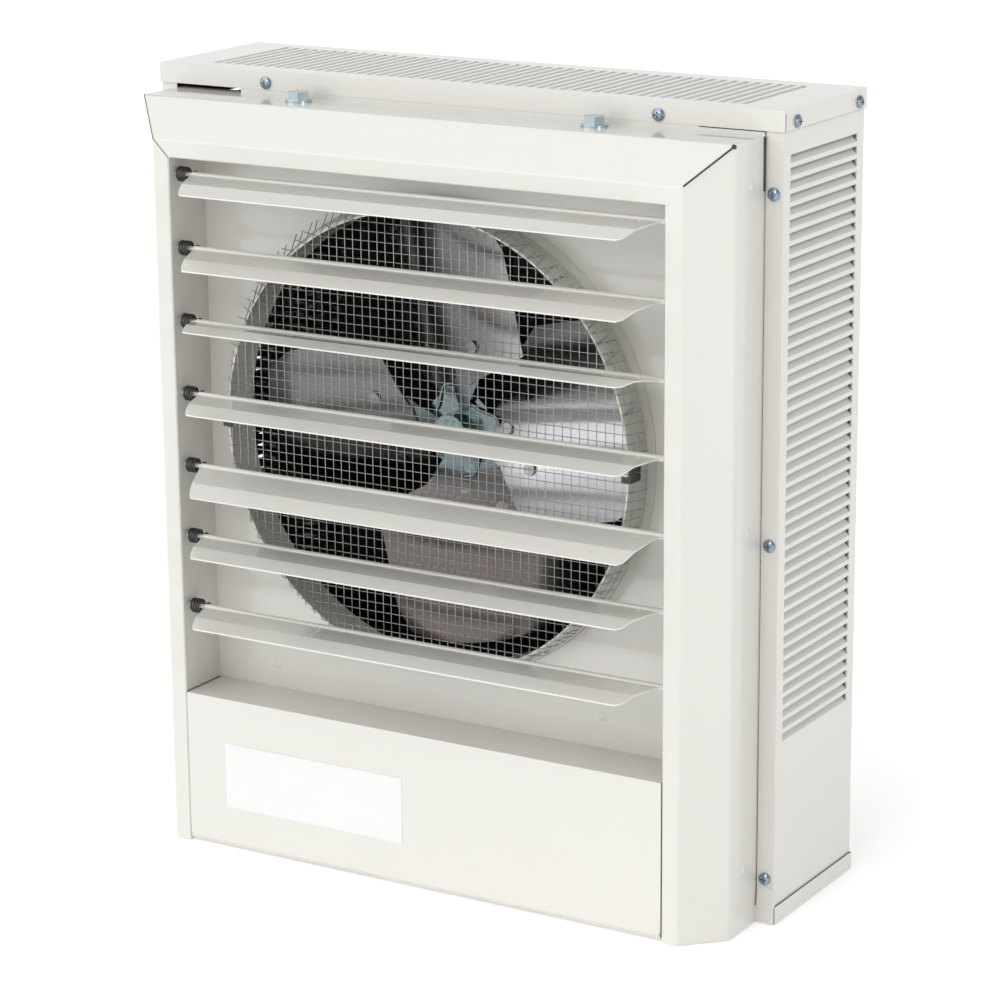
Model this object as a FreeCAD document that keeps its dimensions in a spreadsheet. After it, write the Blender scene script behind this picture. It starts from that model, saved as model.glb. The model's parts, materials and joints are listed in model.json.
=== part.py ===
"""Electric unit heater: a vented cabinet with a bevelled outlet frame, separately
pivoted louvres, a guarded propeller fan, finned heating elements and a wiring space.

X runs to the right seen from the front, Y to the back and Z up, in millimetres.
The origin is the middle of the heater's footprint, on the underside of the bottom pan.
"""
import FreeCAD, Part
import math
import os
import Sketcher
from types import SimpleNamespace
from FreeCAD import Placement, Rotation, Vector

doc = FreeCAD.newDocument("UnitHeater")

# Driving sizes, in millimetres, degrees or counts
DRIVING_SIZES = {
    # Cabinet
    "cabinet_width": 480.0,
    "cabinet_depth": 119.5,
    "cabinet_height": 541.0,
    "sheet": 1.2,
    "cover_lip": 13.5,
    "pan_lip": 12.0,
    "flange_width": 14.0,
    "rear_flange": 15.0,
    "overrun": 2.0,
    "fit_clearance": 0.3,
    # Pressed vents
    "vent_pitch": 8.3,
    "vent_slot": 5.2,
    "vent_press": 4.0,
    "vent_end_gap": 0.8,
    "side_vent_low": 125.0,
    "side_vent_margin": 11.0,
    "side_vent_top": 27.0,
    "top_vent_margin": 15.0,
    "top_vent_end": 32.0,
    # Outlet frame
    "frame_depth": 62.5,
    "frame_drop": 16.5,
    "frame_tuck": 8.0,
    "frame_gap": 0.6,
    "bevel": 25.0,
    "strip": 12.0,
    "recess_depth": 41.0,
    "fold_radius": 2.0,
    "opening_edge": 0.8,
    # Access door and its hinge
    "door_height": 110.0,
    "door_gap": 0.6,
    "hinge_axis_height": 3.6,
    "hinge_axis_depth": 2.0,
    "hinge_knuckle_radius": 1.8,
    "hinge_pin_radius": 0.95,
    "hinge_fit": 0.05,
    "hinge_leaf": 1.0,
    "hinge_knuckle_count": 5,
    "hinge_knuckle_gap": 0.5,
    "door_foot": 5.5,
    "label_width": 146.0,
    "label_height": 47.0,
    "label_low": 30.7,
    "label_left_inset": 32.4,
    "label_thickness": 0.3,
    # Louvres
    "louver_count": 7,
    "louver_low_rise": 62.2,
    "louver_axis_drop": 11.7,
    "louver_axis_depth": 8.0,
    "louver_sheet": 1.0,
    "louver_flat": 24.3,
    "louver_lip": 13.1,
    "louver_bend_angle": 17.0,
    "louver_hem_radius": 2.2,
    "louver_pin_radius": 1.5,
    "louver_pin_fit": 0.08,
    "louver_pin_reach": 1.6,
    "louver_left_room": 14.5,
    "louver_right_tab": 7.0,
    "louver_end_slope": 10.5,
    "louver_right_slope": 11.5,
    "louver_tab_depth": 3.2,
    "louver_corner": 6.0,
    "louver_hole_radius": 1.3,
    "louver_hole_inset": 18.6,
    "louver_hole_depth": 6.5,
    "louver_1_angle": 5.1,
    "louver_2_angle": 6.0,
    "louver_3_angle": -8.0,
    "louver_4_angle": 1.8,
    "louver_5_angle": 13.9,
    "louver_6_angle": 0.4,
    "louver_7_angle": 0.2,
    # Louvre springs
    "spring_wire": 1.5,
    "spring_mean_radius": 4.5,
    "spring_turn_count": 4,
    "spring_end_bend": 1.3,
    # Orifice, collar and guard
    "fan_rise": 9.85,
    "collar_side_room": 32.8,
    "collar_end_room": 32.55,
    "collar_wall": 1.2,
    "collar_reach": 26.3,
    "collar_foot": 6.0,
    "plate_margin": 8.0,
    "guard_wire": 1.2,
    "guard_mesh_count": 16,
    "guard_skirt": 21.0,
    "guard_rim": 3.0,
    "clip_height": 11.0,
    "clip_depth": 13.0,
    "clip_wall": 1.0,
    # Fan
    "fan_plane_depth": 62.0,
    "fan_tip_gap": 8.0,
    "blade_sheet": 1.5,
    "blade_root_radius": 30.0,
    "blade_root_width": 35.0,
    "blade_shoulder_radius": 46.0,
    "blade_width": 127.0,
    "blade_shift": 5.5,
    "blade_corner": 14.0,
    "blade_camber_radius": 150.0,
    "blade_pitch_angle": -24.0,
    "fan_rest_angle": 12.0,
    "arm_sheet": 2.5,
    "arm_reach": 66.0,
    "arm_width": 64.0,
    "arm_shift": 6.0,
    "arm_neck": 20.0,
    "arm_flare_radius": 44.0,
    "fan_disc_radius": 27.0,
    "hub_radius": 13.0,
    "hub_length": 26.0,
    "rivet_radius": 2.4,
    "rivet_head_radius": 4.2,
    "rivet_head_height": 1.8,
    "rivet_spread": 50.0,
    "rivet_shift": 6.5,
    "rivet_inner_radius": 39.0,
    "rivet_outer_radius": 56.0,
    "rivet_fit": 0.05,
    "set_screw_radius": 2.5,
    # Motor
    "shaft_radius": 4.0,
    "shaft_fit": 0.05,
    "shaft_nose": 2.0,
    "motor_radius": 46.0,
    "motor_wall": 2.0,
    "motor_length": 58.0,
    "motor_depth": 104.0,
    "bell_thickness": 6.0,
    "stator_bore": 24.5,
    "stator_length": 36.0,
    "rotor_gap": 0.5,
    "bearing_radius": 9.0,
    "bracket_width": 40.0,
    "bracket_reach": 120.0,
    "bracket_sheet": 2.5,
    "bracket_foot": 16.0,
    "bracket_screw_spread": 30.0,
    # Heating elements
    "element_count": 4,
    "element_tube_radius": 4.0,
    "element_fin_radius": 13.0,
    "element_fin_sheet": 0.8,
    "element_fin_pitch": 9.0,
    "element_top_room": 100.0,
    "element_leg_gap": 36.0,
    "element_inset": 34.0,
    "element_front_depth": 112.0,
    "element_row_gap": 36.0,
    "element_lead": 14.0,
    "element_root": 14.0,
    "element_bushing_radius": 7.0,
    "element_bushing_collar": 10.0,
    "element_bushing_height": 4.0,
    "element_strap_width": 14.0,
    # Wiring space
    "shelf_drop": 12.0,
    "terminal_length": 92.0,
    "terminal_depth": 26.0,
    "terminal_height": 18.0,
    "terminal_rib": 2.5,
    "terminal_rib_height": 7.0,
    "terminal_pole_count": 6,
    "contactor_width": 58.0,
    "contactor_depth": 62.0,
    "contactor_height": 46.0,
    "contactor_step": 12.0,
    "transformer_width": 52.0,
    "transformer_depth": 44.0,
    "transformer_height": 40.0,
    "transformer_coil": 8.0,
    "cutout_radius": 12.0,
    "cutout_height": 11.0,
    "cutout_tab": 5.0,
    "lug_length": 22.0,
    "lug_width": 10.0,
    "lug_height": 9.0,
    "conduit_radius": 11.1,
    "conduit_height": 52.0,
    "conduit_inset": 60.0,
    "bracket_hole_radius": 4.2,
    "bracket_hole_spacing": 300.0,
    "bracket_hole_rise": 220.0,
    "bracket_hole_low": 190.0,
    # Screws and bolts
    "screw_head_radius": 4.2,
    "screw_head_height": 2.4,
    "screw_shank_radius": 2.0,
    "screw_shank_length": 8.0,
    "screw_recess": 0.9,
    "screw_fit": 0.1,
    "cover_screw_drop": 8.5,
    "cover_screw_spread": 302.0,
    "cover_side_screw_front": 17.0,
    "cover_side_screw_rear": 11.5,
    "flange_screw_inset": 7.5,
    "flange_screw_low": 31.0,
    "flange_screw_drop": 53.0,
    "rear_screw_low": 21.0,
    "rear_screw_drop": 26.0,
    "hanger_spread": 227.0,
    "hanger_depth": 46.0,
    "bolt_radius": 4.0,
    "bolt_length": 20.0,
    "bolt_head_flat": 13.0,
    "bolt_head_height": 5.3,
    "washer_radius": 9.0,
    "washer_thickness": 1.6,
    "nut_height": 6.5,
}

sheet = doc.addObject("Spreadsheet::Sheet", "Sizes")
for row, (alias, number) in enumerate(DRIVING_SIZES.items(), start=1):
    sheet.set(f"A{row}", alias)
    sheet.set(f"B{row}", str(number))
    sheet.setAlias(f"B{row}", alias)
doc.recompute()


class Size:
    """A number that keeps the sheet expression it was worked out from."""

    def __init__(self, value, text):
        self.value = value
        self.text = text

    def _join(self, other, sign, result, swapped=False):
        left, right = (other, self) if swapped else (self, other)
        return Size(result(left.value, right.value), f"({left.text} {sign} {right.text})")

    def __add__(self, other):
        return self._join(as_size(other), "+", lambda a, b: a + b)

    def __sub__(self, other):
        return self._join(as_size(other), "-", lambda a, b: a - b)

    def __mul__(self, other):
        return self._join(as_size(other), "*", lambda a, b: a * b)

    def __truediv__(self, other):
        return self._join(as_size(other), "/", lambda a, b: a / b)

    def __rmul__(self, other):
        return self._join(as_size(other), "*", lambda a, b: a * b, swapped=True)

    def __neg__(self):
        return Size(-self.value, f"(0 - {self.text})")


def as_size(thing):
    return thing if isinstance(thing, Size) else Size(float(thing), str(thing))


def sine(angle):
    return Size(math.sin(math.radians(angle.value)), f"sin({angle.text} * 1 deg)")


def cosine(angle):
    return Size(math.cos(math.radians(angle.value)), f"cos({angle.text} * 1 deg)")


def tangent(angle):
    return Size(math.tan(math.radians(angle.value)), f"tan({angle.text} * 1 deg)")


def whole(size):
    return Size(float(math.floor(size.value)), f"floor({size.text})")


def smaller(first, second):
    return Size(min(first.value, second.value), f"min({first.text}; {second.text})")


s = SimpleNamespace(**{
    alias: Size(float(sheet.get(alias)), f"Sizes.{alias}") for alias in DRIVING_SIZES
})
zero = as_size(0)

# Places that several pieces share
half_width = s.cabinet_width / 2
depth = s.frame_depth + s.cabinet_depth
front = -(depth / 2)
rear = depth / 2
flange_plane = front + s.frame_depth
frame_half = half_width - s.flange_width
strip_half = frame_half - s.bevel
opening_half = strip_half - s.strip
frame_height = s.cabinet_height - s.frame_drop
opening_top = frame_height - s.bevel - s.strip
opening_rise = opening_top - s.door_height
shelf_height = s.door_height - s.shelf_drop
plate_front = front + s.recess_depth
plate_back = plate_front + s.sheet
side_outer = half_width - s.sheet
side_inner = side_outer - s.sheet
side_front = flange_plane + s.sheet
rear_panel_outer = rear - s.sheet
rear_panel_inner = rear_panel_outer - s.sheet
side_rear = rear_panel_inner
panel_top = s.cabinet_height - s.sheet
louver_axis_y = front + s.louver_axis_depth
louver_pitch = (opening_rise - s.louver_axis_drop - s.louver_low_rise) / (s.louver_count - 1)
louver_axis_z = [
    opening_top - s.louver_axis_drop - louver_pitch * i for i in range(round(s.louver_count.value))
]
set_tilts = [
    s.louver_1_angle, s.louver_2_angle, s.louver_3_angle, s.louver_4_angle,
    s.louver_5_angle, s.louver_6_angle, s.louver_7_angle,
]
louver_angles = [set_tilts[i % len(set_tilts)] for i in range(len(louver_axis_z))]
fan_y = front + s.fan_plane_depth
fan_z = s.door_height + opening_rise / 2 + s.fan_rise
collar_radius = smaller(opening_half - s.collar_side_room, opening_rise / 2 - s.collar_end_room)
collar_inner = collar_radius - s.collar_wall
collar_front = plate_front - s.collar_reach

nodes = []


def node(label, piece):
    """Marks a document object as a finished piece of the heater."""
    piece.Label = label
    nodes.append(piece)
    return piece


def bind(piece, name, size):
    piece.setExpression(name, as_size(size).text)


def place(piece, corner, rotation=None):
    """Sets where a piece stands, bound to the sheet."""
    corner = [as_size(value) for value in corner]
    piece.Placement = Placement(Vector(*[value.value for value in corner]), rotation or Rotation())
    for letter, value in zip("xyz", corner):
        bind(piece, f"Placement.Base.{letter}", value)


def box(low, extent):
    piece = doc.addObject("Part::Box", "Block")
    for name, value in zip(("Length", "Width", "Height"), extent):
        bind(piece, name, value)
    place(piece, low)
    return piece


def box_between(low, high):
    return box(low, [as_size(b) - a for a, b in zip(low, high)])


AXIS_TURN = {
    "x": Rotation(Vector(0, 1, 0), 90),
    "y": Rotation(Vector(1, 0, 0), -90),
    "z": Rotation(),
}


def cylinder(axis, start, radius, length):
    piece = doc.addObject("Part::Cylinder", "Round")
    bind(piece, "Radius", radius)
    bind(piece, "Height", length)
    place(piece, start, AXIS_TURN[axis])
    return piece


def fuse(*pieces):
    joined = doc.addObject("Part::MultiFuse", "Joined")
    joined.Shapes = list(pieces)
    joined.Refine = True
    return joined


def group(*pieces):
    together = doc.addObject("Part::Compound", "Group")
    together.Links = list(pieces)
    return together


def cut(base, *tools):
    trimmed = doc.addObject("Part::Cut", "Trimmed")
    trimmed.Base = base
    trimmed.Tool = tools[0] if len(tools) == 1 else group(*tools)
    return trimmed


def shaped(shape):
    """A piece whose shape is worked out here from the sheet's sizes."""
    piece = doc.addObject("Part::Feature", "Shaped")
    piece.Shape = shape
    return piece


def origin_feature(body, role):
    return next(part for part in body.Origin.OriginFeatures if part.Role == role)


def outline_sketch(body, plane, outline, offset):
    """A closed outline of straight runs, each corner bound to the sheet."""
    sketch = body.newObject("Sketcher::SketchObject", "Outline")
    sketch.AttachmentSupport = [(origin_feature(body, plane), "")]
    sketch.MapMode = "FlatFace"
    bind(sketch, "AttachmentOffset.Base.z", offset)
    corners = [(as_size(a), as_size(b)) for a, b in outline]
    count = len(corners)
    points = [Vector(a.value, b.value, 0) for a, b in corners]
    runs = [Part.LineSegment(points[i], points[(i + 1) % count]) for i in range(count)]
    sketch.addGeometry(runs, False)
    limits = [Sketcher.Constraint("Coincident", i, 2, (i + 1) % count, 1) for i in range(count)]
    for i, point in enumerate(points):
        limits.append(Sketcher.Constraint("DistanceX", i, 1, point.x))
        limits.append(Sketcher.Constraint("DistanceY", i, 1, point.y))
    sketch.addConstraint(limits)
    for i, (a, b) in enumerate(corners):
        bind(sketch, f"Constraints[{count + 2 * i}]", a)
        bind(sketch, f"Constraints[{count + 2 * i + 1}]", b)
    return sketch


def pad(body, plane, outline, start, length):
    """Adds an outline drawn at start and carried along the plane's own normal."""
    feature = body.newObject("PartDesign::Pad", "Pad")
    feature.Profile = outline_sketch(body, plane, outline, start)
    bind(feature, "Length", length)
    return feature


def pocket(body, plane, outline, start, length):
    """Takes away an outline drawn at start and carried against the plane's normal."""
    feature = body.newObject("PartDesign::Pocket", "Pocket")
    feature.Profile = outline_sketch(body, plane, outline, start)
    bind(feature, "Length", length)
    return feature


def repeat(body, features, axis, pitch, steps):
    """Repeats features along an axis, once more at each of the steps."""
    pattern = body.newObject("PartDesign::LinearPattern", "Row")
    pattern.Originals = features
    pattern.Direction = (origin_feature(body, axis), [""])
    bind(pattern, "Length", pitch * steps)
    bind(pattern, "Occurrences", steps + 1)
    body.Tip = pattern


def new_body(name):
    return doc.addObject("PartDesign::Body", name)


def rectangle(low, high):
    return [(low[0], low[1]), (high[0], low[1]), (high[0], high[1]), (low[0], high[1])]


# Screws, as turned shapes

crown_width_share = 0.72
crown_height_share = 0.9


def pan_screw():
    """A pan-head screw seated at the origin, its head towards +Z."""
    radius = s.screw_head_radius.value
    height = s.screw_head_height.value
    shank = s.screw_shank_radius.value
    length = s.screw_shank_length.value
    recess = s.screw_recess.value
    shoulder = Vector(radius * crown_width_share, 0, height * crown_height_share)
    crown = Part.Arc(Vector(radius, 0, height / 2), shoulder, Vector(0, 0, height))
    edges = [
        Part.LineSegment(Vector(0, 0, -length), Vector(shank, 0, -length)).toShape(),
        Part.LineSegment(Vector(shank, 0, -length), Vector(shank, 0, 0)).toShape(),
        Part.LineSegment(Vector(shank, 0, 0), Vector(radius, 0, 0)).toShape(),
        Part.LineSegment(Vector(radius, 0, 0), Vector(radius, 0, height / 2)).toShape(),
        crown.toShape(),
        Part.LineSegment(Vector(0, 0, height), Vector(0, 0, -length)).toShape(),
    ]
    screw = Part.Face(Part.Wire(edges)).revolve(Vector(), Vector(0, 0, 1), 360)
    blade = Part.makeBox(radius, recess, height, Vector(-radius / 2, -recess / 2, height / 2))
    cross = blade.fuse(blade.rotated(Vector(), Vector(0, 0, 1), 90))
    return Part.Solid(screw.cut(cross).Solids[0])


TOWARDS = {
    "-y": Rotation(Vector(1, 0, 0), 90),
    "+y": Rotation(Vector(1, 0, 0), -90),
    "+x": Rotation(Vector(0, 1, 0), 90),
    "-x": Rotation(Vector(0, 1, 0), -90),
    "+z": Rotation(),
}


def screw_group(label, seats):
    """Screws at (x, y, z, side the head faces), as one node of separate solids."""
    solids = []
    for x, y, z, side in seats:
        screw = pan_screw()
        screw.Placement = Placement(Vector(x.value, y.value, z.value), TOWARDS[side])
        solids.append(screw)
    return node(label, shaped(Part.makeCompound(solids)))


def screw_holes(seats):
    """Clearance holes for those screws, one drilling each."""
    radius = s.screw_shank_radius + s.screw_fit
    reach = s.screw_shank_length + s.overrun
    drillings = []
    for x, y, z, side in seats:
        start = {"x": x, "y": y, "z": z}
        letter = side[1]
        start[letter] = start[letter] - reach
        drillings.append(cylinder(letter, list(start.values()), radius, reach * 2))
    return drillings


cover_screw_z = s.cabinet_height - s.cover_screw_drop
cover_side_y = [flange_plane + s.cover_side_screw_front, rear - s.cover_side_screw_rear]
cover_seats = [(side * s.cover_screw_spread / 2, flange_plane, cover_screw_z, "-y") for side in (-1, 1)]
cover_seats += [(side * s.cover_screw_spread / 2, rear, cover_screw_z, "+y") for side in (-1, 1)]
cover_seats += [(half_width, y, cover_screw_z, "+x") for y in cover_side_y]
cover_seats += [(-half_width, y, cover_screw_z, "-x") for y in cover_side_y]
flange_screw_high = s.cabinet_height - s.flange_screw_drop
flange_heights = [s.flange_screw_low, (s.flange_screw_low + flange_screw_high) / 2, flange_screw_high]
flange_seats = [
    (side * (half_width - s.flange_screw_inset), side_front, z, "-y")
    for side in (-1, 1) for z in flange_heights
]
rear_screw_high = s.cabinet_height - s.rear_screw_drop
rear_heights = [s.rear_screw_low, (s.rear_screw_low + rear_screw_high) / 2, rear_screw_high]
rear_seats = [
    (side * (side_outer - s.rear_flange / 2), rear_panel_outer, z, "+y")
    for side in (-1, 1) for z in rear_heights
]

# Cabinet


def top_cover():
    body = new_body("TopCover")
    low = s.cabinet_height - s.cover_lip
    pad(body, "XY_Plane", rectangle((-half_width, flange_plane), (half_width, rear)), low, s.cover_lip)
    inner = rectangle(
        (s.sheet - half_width, flange_plane + s.sheet), (half_width - s.sheet, rear - s.sheet)
    )
    pocket(body, "XY_Plane", inner, panel_top, s.cover_lip)
    steps = whole((s.cabinet_width - s.top_vent_end * 2 - s.vent_slot) / s.vent_pitch)
    first = -(s.vent_pitch * steps + s.vent_slot) / 2
    near = flange_plane + s.top_vent_margin
    far = rear - s.top_vent_margin
    slot = pocket(
        body, "XY_Plane", rectangle((first, near), (first + s.vent_slot, far)),
        s.cabinet_height + s.overrun, s.sheet + s.overrun * 2,
    )
    tip = first + s.vent_slot - s.vent_end_gap
    strip_outline = [
        (first, s.cabinet_height), (first, panel_top),
        (tip, panel_top - s.vent_press), (tip, s.cabinet_height - s.vent_press),
    ]
    strip = pad(body, "XZ_Plane", strip_outline, s.vent_end_gap - far, far - near - s.vent_end_gap * 2)
    repeat(body, [slot, strip], "X_Axis", s.vent_pitch, steps)
    return node("top_cover", cut(body, *screw_holes(cover_seats)))


def side_panel(label, side):
    body = new_body(label.title().replace("_", ""))
    flange_edge = frame_half + s.frame_gap
    back_edge = side_outer - s.rear_flange
    section = [
        (flange_edge, side_front), (side_outer, side_front), (side_outer, side_rear),
        (back_edge, side_rear), (back_edge, side_rear - s.sheet), (side_inner, side_rear - s.sheet),
        (side_inner, side_front + s.sheet), (flange_edge, side_front + s.sheet),
    ]
    section = [(side * x, y) for x, y in section]
    pad(body, "XY_Plane", section, s.sheet, panel_top - s.sheet)
    near = flange_plane + s.side_vent_margin
    far = rear - s.side_vent_margin
    low = s.side_vent_low
    outermost = side_outer if side > 0 else -side_inner
    slot = pocket(
        body, "YZ_Plane", rectangle((near, low), (far, low + s.vent_slot)),
        outermost + s.overrun, s.sheet + s.overrun * 2,
    )
    tip = low + s.vent_slot - s.vent_end_gap
    strip_outline = [
        (side * side_outer, low), (side * side_inner, low),
        (side * (side_inner - s.vent_press), tip), (side * (side_outer - s.vent_press), tip),
    ]
    strip = pad(body, "XZ_Plane", strip_outline, s.vent_end_gap - far, far - near - s.vent_end_gap * 2)
    steps = whole((s.cabinet_height - s.side_vent_top - low - s.vent_slot) / s.vent_pitch)
    repeat(body, [slot, strip], "Z_Axis", s.vent_pitch, steps)
    return node(label, cut(body, *screw_holes(cover_seats + flange_seats + rear_seats)))


def bottom_pan():
    outer = box_between((-half_width, flange_plane, zero), (half_width, rear, s.pan_lip))
    inner = box_between(
        (s.sheet - half_width, flange_plane + s.sheet, s.sheet),
        (half_width - s.sheet, rear - s.sheet, s.pan_lip + s.overrun),
    )
    return node("bottom_pan", cut(outer, inner))


def rear_panel():
    panel = box_between(
        (-side_outer, rear_panel_inner, s.sheet), (side_outer, rear_panel_outer, panel_top)
    )
    start = rear_panel_inner - s.overrun
    reach = s.sheet + s.overrun * 2
    conduit = cylinder("y", (half_width - s.conduit_inset, start, s.conduit_height), s.conduit_radius, reach)
    bolt_holes = [
        cylinder("y", (side * s.bracket_hole_spacing / 2, start, z), s.bracket_hole_radius, reach)
        for side in (-1, 1)
        for z in (s.bracket_hole_low, s.bracket_hole_low + s.bracket_hole_rise)
    ]
    drilled = screw_holes(rear_seats + cover_seats + motor_foot_seats)
    return node("rear_panel", cut(panel, conduit, *bolt_holes, *drilled))


# Outlet frame


def frame_section():
    """Half section of the frame from its tucked edge round the bevel to the inner wall.

    Each corner is (outward place, depth place); outward is measured from the outer face.
    """
    tucked = s.frame_depth + s.frame_tuck
    lean = s.sheet * tangent(as_size(45) / 2)
    fold = s.fold_radius * tangent(as_size(45) / 2)
    ease = fold * cosine(as_size(45))
    outer = [
        (zero, tucked), (zero, s.bevel + fold), (ease, s.bevel - ease), (s.bevel - ease, ease),
        (s.bevel + fold, zero), (s.bevel + s.strip - s.opening_edge, zero),
    ]
    inner = [
        (s.bevel + s.strip - s.sheet, s.sheet), (s.bevel + lean, s.sheet),
        (s.sheet, s.bevel + lean), (s.sheet, tucked),
    ]
    wall = [
        (s.bevel + s.strip, s.opening_edge), (s.bevel + s.strip, s.recess_depth),
        (s.bevel + s.strip - s.sheet, s.recess_depth),
    ]
    return outer + wall + inner


def mitre_corner(side, keep_above):
    """Triangle, seen from the front, that a mitre takes away from one end of a rail."""
    low_x = side * (opening_half - s.overrun)
    low_z = opening_top - s.overrun
    high_x = side * (frame_half + s.overrun)
    high_z = frame_height + s.overrun
    third = (high_x, low_z) if keep_above else (low_x, high_z)
    return [(low_x, low_z), (high_x, high_z), third]


def frame_top_rail():
    body = new_body("FrameTopRail")
    section = [(front + back, frame_height - inset) for inset, back in frame_section()]
    pad(body, "YZ_Plane", section, -frame_half, frame_half * 2)
    for side in (-1, 1):
        pocket(
            body, "XZ_Plane", mitre_corner(side, True), -(flange_plane + s.frame_tuck + s.overrun),
            s.frame_depth + s.frame_tuck + s.overrun * 2,
        ).Reversed = True
    bolt_holes = [
        cylinder("z", (x, y, frame_height - s.overrun * 2), s.bolt_radius + s.screw_fit, s.overrun * 4)
        for x, y in hanger_places
    ]
    return node("frame_top_rail", cut(body, *bolt_holes))


def frame_stile(label, side):
    body = new_body(label.title().replace("_", ""))
    section = [(side * (frame_half - inset), front + back) for inset, back in frame_section()]
    pad(body, "XY_Plane", section, zero, frame_height)
    pocket(
        body, "XZ_Plane", mitre_corner(side, False), -(flange_plane + s.frame_tuck + s.overrun),
        s.frame_depth + s.frame_tuck + s.overrun * 2,
    ).Reversed = True
    start = side * opening_half - s.overrun * 2
    holes = [
        cylinder("x", (start, louver_axis_y, z), s.louver_pin_radius + s.louver_pin_fit, s.overrun * 4)
        for z in louver_axis_z
    ]
    inner_x, outer_x = side * (frame_half - s.bevel), side * (frame_half + s.overrun)
    low_x, high_x = (inner_x, outer_x) if side > 0 else (outer_x, inner_x)
    pan_notch = box_between(
        (low_x, flange_plane, -s.overrun),
        (high_x, flange_plane + s.frame_tuck + s.overrun, s.pan_lip + s.fit_clearance),
    )
    return node(label, cut(body, pan_notch, *holes))


hinge_y = front + s.hinge_axis_depth
hinge_z = s.hinge_axis_height
knuckle_span = (opening_half - s.door_gap) * 2 / s.hinge_knuckle_count


def knuckles(first):
    """Every second hinge knuckle, with the leaf that joins it to its own sheet."""
    pieces = []
    for i in range(first, round(s.hinge_knuckle_count.value), 2):
        left = s.door_gap - opening_half + knuckle_span * i + s.hinge_knuckle_gap / 2
        length = knuckle_span - s.hinge_knuckle_gap
        pieces.append(cylinder("x", (left, hinge_y, hinge_z), s.hinge_knuckle_radius, length))
        if first:
            low = (left, hinge_y - s.hinge_knuckle_radius, hinge_z)
            high = (left + length, front + s.sheet, s.door_foot + s.sheet)
        else:
            low = (left, hinge_y + s.hinge_knuckle_radius - s.hinge_leaf, zero)
            high = (left + length, hinge_y + s.hinge_knuckle_radius, hinge_z)
        pieces.append(box_between(low, high))
    return pieces


def hinge_bore():
    return cylinder(
        "x", (-opening_half, hinge_y, hinge_z), s.hinge_pin_radius + s.hinge_fit, opening_half * 2
    )


def frame_bottom_rail():
    floor = box_between(
        (-opening_half, hinge_y + s.hinge_knuckle_radius - s.hinge_leaf, zero),
        (opening_half, flange_plane, s.sheet),
    )
    return node("frame_bottom_rail", cut(fuse(floor, *knuckles(0)), hinge_bore()))


def access_door():
    half = opening_half - s.door_gap
    face = box_between((-half, front, s.door_foot), (half, front + s.sheet, s.door_height))
    ledge = box_between(
        (-half, front, s.door_height - s.sheet), (half, plate_front - s.fit_clearance, s.door_height)
    )
    return node("access_door", cut(fuse(face, ledge, *knuckles(1)), hinge_bore()))


def door_hinge_pin():
    half = opening_half - s.door_gap
    return node("door_hinge_pin", cylinder("x", (-half, hinge_y, hinge_z), s.hinge_pin_radius, half * 2))


def blank_label():
    corner = (s.label_left_inset - opening_half, front - s.label_thickness, s.label_low)
    return node("blank_label", box(corner, (s.label_width, s.label_thickness, s.label_height)))


# Louvres


def louver(index):
    """One bent strip with a rolled hem and round pivot ends, turned to its own tilt."""
    body = new_body(f"Louver{index + 1}")
    half_sheet = s.louver_sheet / 2
    bend = s.louver_bend_angle
    reach_y = s.louver_flat + s.louver_lip * cosine(bend)
    drop = s.louver_lip * sine(bend)
    lean = s.louver_sheet * tangent(bend / 2)
    section = [
        (zero, half_sheet), (-s.louver_flat, half_sheet), (-reach_y, half_sheet - drop),
        (-(reach_y + s.louver_sheet * sine(bend)), half_sheet - drop - s.louver_sheet * cosine(bend)),
        (-(s.louver_flat + lean), -half_sheet), (zero, -half_sheet),
    ]
    left = s.louver_left_room - opening_half
    right = opening_half - s.fit_clearance
    pad(body, "YZ_Plane", section, left, right - left)
    tip = -(reach_y + s.overrun)
    shoulder = right - s.louver_right_tab
    top = half_sheet + s.overrun
    through = drop + s.louver_sheet + s.overrun * 2
    left_end = [
        (left - s.overrun, -s.louver_tab_depth), (left, -s.louver_tab_depth),
        (left + s.louver_end_slope, s.louver_corner - reach_y),
        (left + s.louver_end_slope + s.louver_corner / 3, s.louver_corner / 3 - reach_y),
        (left + s.louver_end_slope + s.louver_corner, tip),
        (left - s.overrun, tip),
    ]
    right_end = [
        (right + s.overrun, -s.louver_tab_depth), (shoulder + s.louver_corner / 3, -s.louver_tab_depth),
        (shoulder, -(s.louver_tab_depth + s.louver_corner / 3)),
        (right - s.louver_right_slope, -s.louver_flat),
        (right - s.louver_right_slope - s.louver_corner / 2, s.louver_corner / 2 - reach_y),
        (right - s.louver_right_slope - s.louver_corner * 3 / 2, tip),
        (right + s.overrun, tip),
    ]
    for outline in (left_end, right_end):
        pocket(body, "XY_Plane", outline, top, through)
    hem = cylinder("x", (left, zero, zero), s.louver_hem_radius, right - left)
    pins = []
    pin_end = opening_half + s.sheet + s.louver_pin_reach
    pins.append(cylinder("x", (-pin_end, zero, zero), s.louver_pin_radius, pin_end + left))
    pins.append(cylinder("x", (right, zero, zero), s.louver_pin_radius, pin_end - right))
    hole = cylinder(
        "z", (right - s.louver_hole_inset, -s.louver_hole_depth, -top), s.louver_hole_radius, top * 2
    )
    piece = cut(fuse(body, hem, *pins), hole)
    tilt = Rotation(Vector(1, 0, 0), louver_angles[index].value)
    place(piece, (zero, louver_axis_y, louver_axis_z[index]), tilt)
    return node(f"louver_{index + 1}", piece)


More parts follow.
